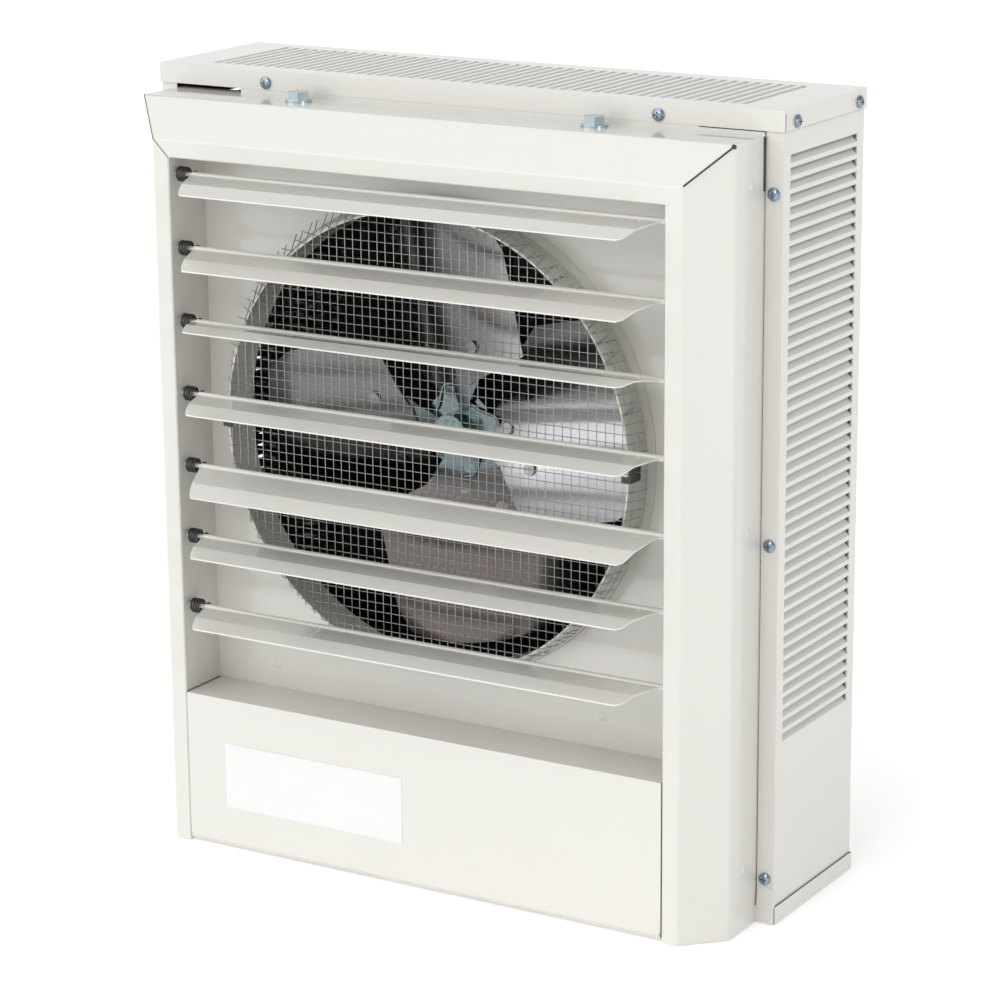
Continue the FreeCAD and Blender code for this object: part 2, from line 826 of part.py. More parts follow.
def biarc(start, start_way, end, end_way):
    """Two tangent arcs from one point and direction to another."""
    span = end - start
    ways = start_way + end_way
    spread = 2 * (1 - start_way.dot(end_way))
    along = span.dot(ways)
    reach = (math.sqrt(along * along + spread * span.dot(span)) - along) / spread
    first = start + start_way * reach
    second = end - end_way * reach
    middle = (first + second) / 2
    arcs = []
    for near, corner, far in ((start, first, middle), (middle, second, end)):
        chord_mid = (near + far) / 2
        lean = (far - near).Length / 2 / reach
        arcs.append(Part.Arc(near, chord_mid + (corner - chord_mid) * (lean / (1 + lean)), far).toShape())
    return arcs


def spring_path(length):
    """Edges of one coil along +X from the origin, and points along it for the gap test."""
    wire = s.spring_wire.value
    radius = s.spring_mean_radius.value
    bend = s.spring_end_bend.value
    turns = round(s.spring_turn_count.value)
    coil_start = wire + bend
    rise = (length - 2 * coil_start) / turns
    quarters = 4 * turns

    def coil_point(i):
        turn = math.pi / 2 * i
        return Vector(coil_start + rise * i / 4, radius * math.cos(turn), radius * math.sin(turn))

    def coil_way(i):
        turn = math.pi / 2 * i
        return Vector(rise / (2 * math.pi), -radius * math.sin(turn), radius * math.cos(turn)).normalize()

    along = Vector(1, 0, 0)
    first = coil_point(0) - coil_way(0) * bend - along * bend
    last = coil_point(quarters) + coil_way(quarters) * bend + along * bend
    first.x = wire
    last.x = length - wire
    edges = [Part.LineSegment(Vector(0, first.y, first.z), first).toShape()]
    edges += biarc(first, along, coil_point(0), coil_way(0))
    for i in range(quarters):
        edges += biarc(coil_point(i), coil_way(i), coil_point(i + 1), coil_way(i + 1))
    edges += biarc(coil_point(quarters), coil_way(quarters), last, along)
    edges.append(Part.LineSegment(last, Vector(length, last.y, last.z)).toShape())
    return edges


def least_gap(edges, wire):
    """Smallest clear distance between stretches of the wire that aren't neighbours."""
    points = []
    travelled = 0
    for edge in edges:
        steps = 6
        first, last = edge.ParameterRange
        for k in range(steps):
            point = edge.valueAt(first + (last - first) * k / steps)
            points.append((travelled + edge.Length * k / steps, point))
        travelled += edge.Length
    apart = 4 * wire
    return min(
        (p - q).Length for a, p in points for b, q in points if b - a > apart
    ) - wire


def louver_springs():
    room = s.louver_left_room.value - 2 * s.fit_clearance.value
    edges = spring_path(room)
    path = Part.Wire(edges)
    wire = s.spring_wire.value
    start = edges[0].valueAt(edges[0].FirstParameter)
    section = Part.Wire(Part.Circle(start, Vector(1, 0, 0), wire / 2).toShape())
    spring = path.makePipeShell([section], True, False)
    print("louver spring least gap", round(least_gap(edges, wire), 3), "volume share",
          round(spring.Volume / (math.pi * wire * wire / 4 * path.Length), 4))
    springs = []
    for z in louver_axis_z:
        copy = spring.copy()
        left = s.fit_clearance.value - opening_half.value
        copy.Placement = Placement(Vector(left, louver_axis_y.value, z.value), Rotation())
        springs.append(copy)
    return node("louver_springs", shaped(Part.makeCompound(springs)))


# Orifice, collar and guard

def orifice_plate():
    half = frame_half - s.sheet - s.fit_clearance
    plate = box_between(
        (-half, plate_front, shelf_height), (half, plate_back, opening_top + s.plate_margin)
    )
    hole = cylinder(
        "y", (zero, plate_front - s.overrun, fan_z), collar_inner, s.sheet + s.overrun * 2
    )
    return node("orifice_plate", cut(plate, hole))


def venturi_ring():
    at = fan_z
    wall = cylinder("y", (zero, collar_front, at), collar_radius, s.collar_reach)
    foot_start = (zero, plate_front - s.collar_wall, at)
    foot = cylinder("y", foot_start, collar_radius + s.collar_foot, s.collar_wall)
    bore = cylinder("y", (zero, collar_front - s.overrun, at), collar_inner, s.collar_reach + s.overrun * 2)
    return node("venturi_ring", cut(fuse(wall, foot), bore))


def fan_guard():
    """A net over the collar's mouth, as one holed face, and the skirt it has round the collar."""
    pitch = 2 * collar_inner.value / s.guard_mesh_count.value
    wire = s.guard_wire.value
    inner = collar_radius.value + s.fit_clearance.value
    outer = inner + wire
    gap = pitch - wire
    limit = collar_inner.value - s.guard_rim.value
    steps = math.ceil(limit / pitch)
    y = collar_front.value - wire
    z0 = fan_z.value
    mouths = []
    for i in range(-steps, steps):
        for k in range(-steps, steps):
            low = Vector(i * pitch + wire / 2, y, k * pitch + wire / 2)
            corners = [low, low + Vector(gap, 0, 0), low + Vector(gap, 0, gap), low + Vector(0, 0, gap)]
            if max(corner.sub(Vector(0, y, 0)).Length for corner in corners) < limit:
                lifted = [corner + Vector(0, 0, z0) for corner in corners]
                mouths.append(Part.makePolygon(lifted + lifted[:1]))
    rim = Part.Wire(Part.Circle(Vector(0, y, z0), Vector(0, 1, 0), outer).toShape())
    node("fan_guard", shaped(Part.Face([rim] + mouths).extrude(Vector(0, wire, 0))))
    foot = Vector(0, y + wire, z0)
    reach = s.guard_skirt.value - wire
    skirt = Part.makeCylinder(outer, reach, foot, Vector(0, 1, 0))
    skirt = skirt.cut(Part.makeCylinder(inner, reach, foot, Vector(0, 1, 0)))
    node("guard_skirt", shaped(skirt))
    print("guard gaps", len(mouths))


def guard_clips():
    """Spring clips that hook over the guard's rim at both sides, two prongs each."""
    clips = []
    outside = collar_radius + s.fit_clearance * 2 + s.guard_wire
    hook = collar_inner - s.guard_rim
    y = collar_front - s.guard_wire - s.clip_wall
    prong = s.clip_height / 3
    for side in (-1, 1):
        low_x, high_x = (outside, outside + s.clip_wall) if side > 0 else (-outside - s.clip_wall, -outside)
        back = box_between(
            (low_x, y, fan_z - s.clip_height / 2),
            (high_x, y + s.clip_depth, fan_z + s.clip_height / 2),
        )
        tip_low, tip_high = (hook, high_x) if side > 0 else (low_x, -hook)
        prongs = [
            box((tip_low, y, z), (tip_high - tip_low, s.clip_wall, prong))
            for z in (fan_z - s.clip_height / 2, fan_z + s.clip_height / 2 - prong)
        ]
        clips.append(fuse(back, *prongs))
    return node("guard_clips", group(*clips))


# Fan


def turned_quarters(shape):
    """Four copies of a shape about the fan's axis, in place behind the guard."""
    copies = []
    for quarter in range(4):
        copy = shape.copy()
        copy.rotate(Vector(), Vector(0, 1, 0), 90 * quarter - s.fan_rest_angle.value)
        copy.translate(Vector(0, fan_y.value, fan_z.value))
        copies.append(copy)
    return copies


def curved_sheet(near, far, length):
    """A stretch of curved sheet between two offsets from the blade's front face."""
    pitch = math.radians(s.blade_pitch_angle.value)
    bend = s.blade_camber_radius.value
    centre = Vector(-math.sin(pitch), math.cos(pitch), 0) * bend
    outer = Part.makeCylinder(bend - near, length, centre, Vector(0, 0, 1))
    inner = Part.makeCylinder(bend - far, length, centre, Vector(0, 0, 1))
    return outer.cut(inner)


def front_outline(points, thickness):
    face = Part.Face(Part.makePolygon([Vector(x, -thickness, z) for x, z in points + points[:1]]))
    return face.extrude(Vector(0, 2 * thickness, 0))


def rivet_seats():
    """Where the rivets sit on the blade's front face, each with the way into the sheet."""
    pitch = math.radians(s.blade_pitch_angle.value)
    bend = s.blade_camber_radius.value
    inward = Vector(-math.sin(pitch), math.cos(pitch), 0)
    across = Vector(math.cos(pitch), math.sin(pitch), 0)
    shift = s.rivet_shift.value
    half = s.rivet_spread.value / 2
    inner = s.rivet_inner_radius.value
    outer = s.rivet_outer_radius.value
    seats = []
    for along, radius in ((shift / 2, inner), (shift - half, outer), (shift + half, outer)):
        turn = along / bend
        seat = inward * bend * (1 - math.cos(turn)) + across * bend * math.sin(turn)
        seats.append((seat + Vector(0, 0, radius), inward * math.cos(turn) - across * math.sin(turn)))
    return seats


def rivet_drillings(radius):
    reach = s.blade_camber_radius.value / 10
    return [Part.makeCylinder(radius, 2 * reach, seat - way * reach, way) for seat, way in rivet_seats()]


def fan_pieces():
    reach = s.blade_width.value
    tip = collar_inner.value - s.fan_tip_gap.value
    root = s.blade_root_radius.value
    half_root = s.blade_root_width.value / 2
    shoulder = s.blade_shoulder_radius.value
    left = s.blade_shift.value - s.blade_width.value / 2
    right = s.blade_shift.value + s.blade_width.value / 2
    corner = s.blade_corner.value
    blade_far = s.blade_sheet.value
    arm_near = blade_far + s.rivet_fit.value
    arm_far = arm_near + s.arm_sheet.value
    hub_radius = s.hub_radius.value
    outline = [
        (-half_root, root), (half_root, root), (right, shoulder),
        (right, math.sqrt(tip * tip - right * right) - corner), (right - corner, tip),
        (left + corner, tip), (left, math.sqrt(tip * tip - left * left) - corner), (left, shoulder),
    ]
    blade = curved_sheet(0, blade_far, tip).common(front_outline(outline, reach))
    swept = Part.makeCylinder(tip, 2 * reach, Vector(0, -reach, 0), Vector(0, 1, 0))
    blade = blade.common(swept)
    drilled = rivet_drillings(s.rivet_radius.value + s.rivet_fit.value)
    blade = blade.cut(Part.makeCompound(drilled))
    arm_left = s.arm_shift.value - s.arm_width.value / 2
    arm_right = s.arm_shift.value + s.arm_width.value / 2
    arm_end = s.arm_reach.value
    half_neck = s.arm_neck.value / 2
    flare = s.arm_flare_radius.value
    arm_outline = [
        (-half_neck, hub_radius), (half_neck, hub_radius), (arm_right, flare), (arm_right, arm_end),
        (arm_left, arm_end), (arm_left, flare),
    ]
    arm = curved_sheet(arm_near, arm_far, arm_end).common(front_outline(arm_outline, reach))
    arm = arm.cut(Part.makeCompound(drilled))
    node("fan_blades", shaped(Part.makeCompound(turned_quarters(blade))))

    at = Vector(0, fan_y.value, fan_z.value)
    way = Vector(0, 1, 0)
    hub_length = s.hub_length.value
    disc_front = at + way * arm_near
    disc = Part.makeCylinder(s.fan_disc_radius.value, s.arm_sheet.value, disc_front, way)
    spider = disc.multiFuse(turned_quarters(arm))
    hole = Part.makeCylinder(hub_radius + s.rivet_fit.value, 4 * hub_length, at - way * 2 * hub_length, way)
    spider = spider.cut(hole).removeSplitter()
    node("fan_spider", shaped(spider))

    hub = Part.makeCylinder(hub_radius, hub_length, at - way * (hub_length / 2), way)
    bore = s.shaft_radius.value + s.shaft_fit.value
    hub = hub.cut(Part.makeCylinder(bore, 2 * hub_length, at - way * hub_length, way))
    set_radius = s.set_screw_radius.value
    set_start = at - way * (hub_length / 2 - 2 * set_radius)
    socket = Part.makeCylinder(set_radius + s.rivet_fit.value, 2 * hub_radius, set_start, Vector(0, 0, 1))
    node("fan_hub", shaped(hub.cut(socket)))
    set_foot = set_start + Vector(0, 0, bore)
    node("hub_set_screw", shaped(Part.makeCylinder(set_radius, hub_radius - bore, set_foot, Vector(0, 0, 1))))

    rivets = []
    head_height = s.rivet_head_height.value
    for seat, way in rivet_seats():
        shank = Part.makeCylinder(s.rivet_radius.value, arm_far + head_height, seat, way)
        head = Part.makeCylinder(s.rivet_head_radius.value, head_height, seat - way * head_height, way)
        rivets += turned_quarters(head.fuse(shank).removeSplitter())
    node("fan_rivets", shaped(Part.makeCompound(rivets)))


# Motor

motor_front = front + s.motor_depth
motor_rear = motor_front + s.motor_length
bracket_face = motor_rear + s.bell_thickness
shaft_start = fan_y - s.hub_length / 2 - s.shaft_nose


def tube(start, length, radius, bore):
    return cut(
        cylinder("y", (zero, start, fan_z), radius, length),
        cylinder("y", (zero, start - s.overrun, fan_z), bore, length + s.overrun * 2),
    )


def motor_pieces():
    node("motor_housing", tube(motor_front, s.motor_length, s.motor_radius, s.motor_radius - s.motor_wall))
    stator_start = motor_front + (s.motor_length - s.stator_length) / 2
    node("motor_stator", tube(stator_start, s.stator_length, s.motor_radius - s.motor_wall, s.stator_bore))
    rotor_radius = s.stator_bore - s.rotor_gap
    shaft_hole = s.shaft_radius + s.shaft_fit
    node("motor_rotor", tube(stator_start, s.stator_length, rotor_radius, shaft_hole))
    bearings = []
    bells = {"motor_front_bell": motor_front - s.bell_thickness, "motor_rear_bell": motor_rear}
    for label, start in bells.items():
        node(label, tube(start, s.bell_thickness, s.motor_radius, s.bearing_radius))
        bearings.append(tube(start, s.bell_thickness, s.bearing_radius, shaft_hole))
    node("motor_bearings", group(*bearings))
    shaft_length = motor_rear + s.bell_thickness - s.fit_clearance - shaft_start
    node("motor_shaft", cylinder("y", (zero, shaft_start, fan_z), s.shaft_radius, shaft_length))


motor_foot_z = [fan_z + side * (s.bracket_reach + s.bracket_foot / 2) for side in (-1, 1)]
motor_foot_seats = [
    (side * s.bracket_screw_spread / 2, rear_panel_outer, z, "+y") for side in (-1, 1) for z in motor_foot_z
]


def motor_bracket():
    half = s.bracket_width / 2
    low = fan_z - s.bracket_reach
    high = fan_z + s.bracket_reach
    pieces = [box_between((-half, bracket_face, low), (half, bracket_face + s.bracket_sheet, high))]
    foot_front = rear_panel_inner - s.bracket_sheet
    for leg_low, foot_low in ((low, low - s.bracket_foot), (high - s.bracket_sheet, high - s.bracket_sheet)):
        leg_high = leg_low + s.bracket_sheet
        pieces.append(box_between((-half, bracket_face, leg_low), (half, rear_panel_inner, leg_high)))
        foot_high = foot_low + s.bracket_foot + s.bracket_sheet
        pieces.append(box_between((-half, foot_front, foot_low), (half, rear_panel_inner, foot_high)))
    node("motor_bracket", cut(fuse(*pieces), *screw_holes(motor_foot_seats)))
    screw_group("motor_bracket_screws", motor_foot_seats)


# Heating elements

shelf_top = shelf_height + s.sheet
element_low = shelf_height - s.element_lead
element_fin_low = shelf_top + s.element_root
element_fin_count = whole((panel_top - element_fin_low - s.element_top_room) / s.element_fin_pitch)
element_bend_z = element_fin_low + s.element_fin_pitch * element_fin_count


def element_legs(index):
    """The two upright legs of one hairpin, as (x, y)."""
    side = -1 if index % 2 == 0 else 1
    outer = side * (half_width - s.element_inset)
    inner = side * (half_width - s.element_inset - s.element_leg_gap)
    y = front + s.element_front_depth + s.element_row_gap * (index // 2)
    return (outer, y), (inner, y)


def finned_leg(x, y):
    """One leg as a turned shape: a tube with evenly spaced fins."""
    tube_radius = s.element_tube_radius.value
    fin_radius = s.element_fin_radius.value
    outline = [Vector(0, 0, element_low.value), Vector(tube_radius, 0, element_low.value)]
    for k in range(round(element_fin_count.value)):
        z = element_fin_low.value + s.element_fin_pitch.value * k
        for radius, height in ((tube_radius, z), (fin_radius, z), (fin_radius, z + s.element_fin_sheet.value),
                               (tube_radius, z + s.element_fin_sheet.value)):
            outline.append(Vector(radius, 0, height))
    outline += [Vector(tube_radius, 0, element_bend_z.value), Vector(0, 0, element_bend_z.value)]
    leg = Part.Face(Part.makePolygon(outline + outline[:1])).revolve(Vector(), Vector(0, 0, 1), 360)
    leg.translate(Vector(x.value, y.value, 0))
    return leg


def heating_elements():
    bushings = []
    for index in range(round(s.element_count.value)):
        legs = element_legs(index)
        (x1, y), (x2, _) = legs
        middle = Vector((x1.value + x2.value) / 2, y.value, element_bend_z.value)
        bend_radius = s.element_leg_gap.value / 2
        torus = Part.makeTorus(bend_radius, s.element_tube_radius.value, middle, Vector(0, 1, 0))
        reach = bend_radius * 3
        keep = Part.makeBox(2 * reach, 2 * reach, reach, middle - Vector(reach, reach, 0))
        bend = torus.common(keep)
        element = bend.multiFuse([finned_leg(x, leg_y) for x, leg_y in legs]).removeSplitter()
        node(f"heating_element_{index + 1}", shaped(element))
        for x, leg_y in legs:
            stem = cylinder(
                "z", (x, leg_y, shelf_height - s.element_bushing_height), s.element_bushing_radius,
                s.sheet + s.element_bushing_height * 2,
            )
            collar = cylinder("z", (x, leg_y, shelf_top), s.element_bushing_collar, s.element_bushing_height)
            bore = cylinder(
                "z", (x, leg_y, element_low), s.element_tube_radius + s.fit_clearance, s.element_lead * 3
            )
            bushings.append(cut(fuse(stem, collar), bore))
    node("element_bushings", group(*bushings))


def element_straps():
    """Flat bars from the rear panel that steady the hairpins at their tops."""
    straps = []
    z = element_bend_z - s.element_fin_pitch / 2
    low_y = front + s.element_front_depth - s.element_strap_width
    holes = [
        cylinder("z", (x, y, z - s.overrun), s.element_tube_radius + s.fit_clearance, s.sheet + s.overrun * 2)
        for index in range(round(s.element_count.value)) for x, y in element_legs(index)
    ]
    for side in (-1, 1):
        outer = side * (side_outer - s.rear_flange - s.fit_clearance)
        inner = side * (half_width - s.element_inset - s.element_leg_gap - s.element_strap_width)
        low_x, high_x = (outer, inner) if side < 0 else (inner, outer)
        bar = box_between((low_x, low_y, z), (high_x, rear_panel_inner, z + s.sheet))
        ear = box_between(
            (low_x, rear_panel_inner - s.sheet, z), (high_x, rear_panel_inner, z + s.element_strap_width)
        )
        straps.append(cut(fuse(bar, ear), *holes))
    node("element_straps", group(*straps))


# Wiring space


def control_shelf():
    narrow = frame_half - s.sheet - s.fit_clearance
    step_y = flange_plane + s.frame_tuck + s.fit_clearance
    front_half = box_between((-narrow, plate_back, shelf_height), (narrow, step_y, shelf_top))
    back_half = box_between(
        (-side_inner, step_y, shelf_height), (side_inner, side_rear - s.sheet, shelf_top)
    )
    holes = [
        cylinder("z", (x, y, shelf_height - s.overrun), s.element_bushing_radius, s.sheet + s.overrun * 2)
        for index in range(round(s.element_count.value)) for x, y in element_legs(index)
    ]
    return node("control_shelf", cut(fuse(front_half, back_half), *holes))


floor_z = s.sheet
wiring_y = flange_plane + s.frame_tuck * 2


def terminal_block():
    left = -(s.terminal_length / 2)
    base = box((left, wiring_y, floor_z), (s.terminal_length, s.terminal_depth, s.terminal_height))
    pole = (s.terminal_length - s.terminal_rib) / s.terminal_pole_count
    ribs = [
        box((left + pole * i, wiring_y, floor_z + s.terminal_height),
            (s.terminal_rib, s.terminal_depth, s.terminal_rib_height))
        for i in range(round(s.terminal_pole_count.value) + 1)
    ]
    return node("terminal_block", fuse(base, *ribs))


def contactor():
    left = -(s.terminal_length / 2 + s.contactor_step * 2 + s.contactor_width)
    base = box((left, wiring_y, floor_z), (s.contactor_width, s.contactor_depth, s.contactor_height))
    head = box(
        (left, wiring_y + s.contactor_step, floor_z + s.contactor_height),
        (s.contactor_width, s.contactor_depth - s.contactor_step * 2, s.contactor_step),
    )
    return node("contactor", fuse(base, head))


def control_transformer():
    left = s.terminal_length / 2 + s.contactor_step * 2
    core = box((left, wiring_y, floor_z), (s.transformer_width, s.transformer_depth, s.transformer_height))
    coil = box(
        (left + s.transformer_coil, wiring_y - s.transformer_coil, floor_z + s.transformer_coil),
        (s.transformer_width - s.transformer_coil * 2, s.transformer_depth + s.transformer_coil * 2,
         s.transformer_height - s.transformer_coil * 2),
    )
    return node("control_transformer", fuse(core, coil))


def thermal_cutout():
    x = zero
    y = wiring_y + s.terminal_depth
    can = cylinder("z", (x, y, shelf_top), s.cutout_radius, s.cutout_height)
    tabs = [
        box((x + side * s.cutout_tab - s.sheet / 2, y - s.cutout_tab / 2, shelf_top + s.cutout_height),
            (s.sheet, s.cutout_tab, s.cutout_tab))
        for side in (-1, 1)
    ]
    return node("thermal_cutout", fuse(can, *tabs))


def ground_lug():
    x = half_width - s.conduit_inset
    body = box((x, wiring_y, floor_z), (s.lug_length, s.lug_width, s.lug_height))
    bore = cylinder(
        "x", (x - s.overrun, wiring_y + s.lug_width / 2, floor_z + s.lug_height / 2), s.lug_width / 4,
        s.lug_length + s.overrun * 2,
    )
    return node("ground_lug", cut(body, bore))


# Hanging hardware

hanger_places = [(side * s.hanger_spread / 2, front + s.hanger_depth) for side in (-1, 1)]


def hexagon(flat, height, base):
    radius = flat / math.sqrt(3)
    turns = [math.pi / 3 * k for k in range(7)]
    corners = [base + Vector(radius * math.cos(turn), radius * math.sin(turn), 0) for turn in turns]
    return Part.Face(Part.makePolygon(corners)).extrude(Vector(0, 0, height))


def hanger_hardware():
    bolts = []
    washers = []
    nuts = []
    radius = s.bolt_radius.value
    bore = radius + s.screw_fit.value
    for x, y in hanger_places:
        seat = Vector(x.value, y.value, frame_height.value)
        washer_top = seat + Vector(0, 0, s.washer_thickness.value)
        head = hexagon(s.bolt_head_flat.value, s.bolt_head_height.value, washer_top)
        shank = Part.makeCylinder(radius, s.bolt_length.value, washer_top, Vector(0, 0, -1))
        bolts.append(head.fuse(shank).removeSplitter())
        washer = Part.makeCylinder(s.washer_radius.value, s.washer_thickness.value, seat)
        washers.append(washer.cut(Part.makeCylinder(bore, s.washer_thickness.value, seat)))
        nut_base = seat - Vector(0, 0, s.sheet.value + s.nut_height.value)
        nut = hexagon(s.bolt_head_flat.value, s.nut_height.value, nut_base)
        nuts.append(nut.cut(Part.makeCylinder(bore, s.nut_height.value, nut_base)))
    node("hanger_bolts", shaped(Part.makeCompound(bolts)))
    node("hanger_washers", shaped(Part.makeCompound(washers)))
    node("hanger_nuts", shaped(Part.makeCompound(nuts)))


# Assembly

top_cover()
side_panel("left_side_panel", -1)
side_panel("right_side_panel", 1)
bottom_pan()
rear_panel()
screw_group("cover_screws", cover_seats)
screw_group("flange_screws", flange_seats)
screw_group("rear_panel_screws", rear_seats)
frame_top_rail()
frame_stile("frame_left_stile", -1)
frame_stile("frame_right_stile", 1)
frame_bottom_rail()
access_door()
door_hinge_pin()
blank_label()
for number in range(len(louver_axis_z)):
    louver(number)
louver_springs()
orifice_plate()
venturi_ring()
fan_guard()
guard_clips()
fan_pieces()
motor_pieces()
motor_bracket()
heating_elements()
element_straps()
control_shelf()
terminal_block()
contactor()
control_transformer()
thermal_cutout()
ground_lug()
hanger_hardware()
doc.recompute()

faults = [f"{part.Name}: {part.State}" for part in doc.Objects if {"Invalid", "Error"} & set(part.State)]
for piece in nodes:
    if piece.Shape.isNull() or not piece.Shape.isValid() or not piece.Shape.Solids:
        faults.append(f"{piece.Label}: bad shape")
if faults:
    raise RuntimeError("; ".join(faults))

os.makedirs("parts", exist_ok=True)
for piece in nodes:
    piece.Shape.exportStep(f"parts/{piece.Label}.step")
print(len(nodes), "pieces", sum(len(piece.Shape.Solids) for piece in nodes), "solids")
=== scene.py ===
"""Looks of the unit heater: finishes, wire cloth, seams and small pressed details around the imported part."""

import json
import math
import random

import bpy
from mathutils import Matrix, Vector


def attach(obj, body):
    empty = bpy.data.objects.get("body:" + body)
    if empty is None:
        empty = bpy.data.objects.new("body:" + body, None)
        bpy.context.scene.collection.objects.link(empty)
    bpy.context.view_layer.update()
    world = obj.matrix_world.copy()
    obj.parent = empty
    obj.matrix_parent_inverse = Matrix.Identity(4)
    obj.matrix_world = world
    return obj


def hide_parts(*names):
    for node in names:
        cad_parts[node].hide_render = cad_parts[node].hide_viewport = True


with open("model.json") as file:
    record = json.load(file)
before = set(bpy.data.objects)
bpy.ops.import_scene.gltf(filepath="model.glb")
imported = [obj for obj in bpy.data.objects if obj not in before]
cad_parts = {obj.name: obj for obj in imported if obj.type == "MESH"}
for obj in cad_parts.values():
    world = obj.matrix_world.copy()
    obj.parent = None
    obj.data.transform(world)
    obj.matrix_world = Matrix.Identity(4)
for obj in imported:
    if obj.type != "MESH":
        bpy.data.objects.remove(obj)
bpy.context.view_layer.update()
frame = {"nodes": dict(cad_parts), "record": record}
nodes = frame["nodes"]
record = frame["record"]
rng = random.Random(7)

MM = 0.001


def span(name):
    """A node's lowest and highest corner, in millimetres."""
    piece = nodes[name]
    points = [piece.matrix_world @ vertex.co for vertex in piece.data.vertices]
    return [Vector([pick(point[axis] for point in points) / MM for axis in range(3)]) for pick in (min, max)]


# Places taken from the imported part, in millimetres

stile_low, stile_high = span("frame_right_stile")
rail_low = span("frame_top_rail")[0]
plate_low = span("orifice_plate")[0]
collar_low = span("venturi_ring")[0]
cover_low, cover_high = span("top_cover")
pan_low, pan_high = span("bottom_pan")
flange_y = span("right_side_panel")[0].y
rear_panel_low = span("rear_panel")[0]
door_low, door_high = span("access_door")
hub_low, hub_high = span("fan_hub")
terminal_low, terminal_high = span("terminal_block")
contactor_low, contactor_high = span("contactor")
frame_opening = Vector((stile_low.x, stile_low.y, rail_low.z))
bracket = next(mount for mount in record["mounts"] if mount["name"] == "rear_bracket")
FRAME_BEVEL = 25
SIDES = {"left": -1, "right": 1}

# The fan's middle and the collar's outer radius, in metres

FAN = (hub_low + hub_high) / 2 * MM
COLLAR_R = 156.2 * MM

# Finishes

COAT_ROUGHNESS = 0.06
SMOOTHEST = 0.03
DRIFT_DETAIL = 5
DRIFT_LOW, DRIFT_HIGH = 0.3, 0.7
GRAIN_DETAIL = 2
GRAIN_DEPTH = 0.0002
# Faces turned toward the cabinet's inside past this limit are painted near black, as painted shade
INWARD_LIMIT = -0.3
INSIDE_SHADE = (0.02, 0.02, 0.02, 1)
MIX_SHARE, MIX_FIRST, MIX_SECOND, MIX_RESULT = 0, 6, 7, 2


def finish(name, color, rough, metallic=0.0, spread=0.04, spread_scale=30.0, rough_spread=0.06,
           bump=0.0, bump_scale=700.0, stretch=(1, 1, 1), coat=0.0, tint=None, outward=None):
    """A surface whose colour and roughness drift over the piece, with an optional fine texture, and, when an
    outward way is given, painted shade on the faces turned against it.
    """
    mat = bpy.data.materials.new(name)
    mat.use_nodes = True
    tree = mat.node_tree
    shader = tree.nodes["Principled BSDF"]
    shader.inputs["Metallic"].default_value = metallic
    shader.inputs["Coat Weight"].default_value = coat
    shader.inputs["Coat Roughness"].default_value = COAT_ROUGHNESS
    place = tree.nodes.new("ShaderNodeTexCoord")
    scale = tree.nodes.new("ShaderNodeMapping")
    scale.inputs["Scale"].default_value = stretch
    tree.links.new(place.outputs["Object"], scale.inputs["Vector"])
    drift = tree.nodes.new("ShaderNodeTexNoise")
    drift.inputs["Scale"].default_value = spread_scale
    drift.inputs["Detail"].default_value = DRIFT_DETAIL
    tree.links.new(scale.outputs["Vector"], drift.inputs["Vector"])
    darker = [c * (1 - spread) for c in color]
    lighter = [min(1, c * (1 + spread)) for c in tint or color]
    shown = blended(tree, drift.outputs["Fac"], (*darker, 1), (*lighter, 1))
    if outward:
        shown = shaded_inside(tree, shown, outward)
    tree.links.new(shown, shader.inputs["Base Color"])
    sheen = tree.nodes.new("ShaderNodeMapRange")
    sheen.inputs["From Min"].default_value = DRIFT_LOW
    sheen.inputs["From Max"].default_value = DRIFT_HIGH
    sheen.inputs["To Min"].default_value = max(SMOOTHEST, rough - rough_spread)
    sheen.inputs["To Max"].default_value = rough + rough_spread
    tree.links.new(drift.outputs["Fac"], sheen.inputs["Value"])
    tree.links.new(sheen.outputs["Result"], shader.inputs["Roughness"])
    if bump:
        grain = tree.nodes.new("ShaderNodeTexNoise")
        grain.inputs["Scale"].default_value = bump_scale
        grain.inputs["Detail"].default_value = GRAIN_DETAIL
        tree.links.new(scale.outputs["Vector"], grain.inputs["Vector"])
        lift = tree.nodes.new("ShaderNodeBump")
        lift.inputs["Strength"].default_value = bump
        lift.inputs["Distance"].default_value = GRAIN_DEPTH
        tree.links.new(grain.outputs["Fac"], lift.inputs["Height"])
        tree.links.new(lift.outputs["Normal"], shader.inputs["Normal"])
    return mat


def blended(tree, share, first, second):
    """Mixes two colours, each given as a value or as a socket, by a share read from a socket."""
    mix = tree.nodes.new("ShaderNodeMix")
    mix.data_type = "RGBA"
    tree.links.new(share, mix.inputs[MIX_SHARE])
    for color, entry in ((first, mix.inputs[MIX_FIRST]), (second, mix.inputs[MIX_SECOND])):
        if isinstance(color, tuple):
            entry.default_value = color
        else:
            tree.links.new(color, entry)
    return mix.outputs[MIX_RESULT]


def shaded_inside(tree, outer, outward):
    """Keeps a sheet's outer face painted and paints the face toward the cabinet's inside near black, as
    painted shade.
    """
    geometry = tree.nodes.new("ShaderNodeNewGeometry")
    facing = tree.nodes.new("ShaderNodeVectorMath")
    facing.operation = "DOT_PRODUCT"
    facing.inputs[1].default_value = outward
    tree.links.new(geometry.outputs["True Normal"], facing.inputs[0])
    inward = tree.nodes.new("ShaderNodeMath")
    inward.operation = "LESS_THAN"
    inward.inputs[1].default_value = INWARD_LIMIT
    tree.links.new(facing.outputs["Value"], inward.inputs[0])
    return blended(tree, inward.outputs["Value"], outer, INSIDE_SHADE)


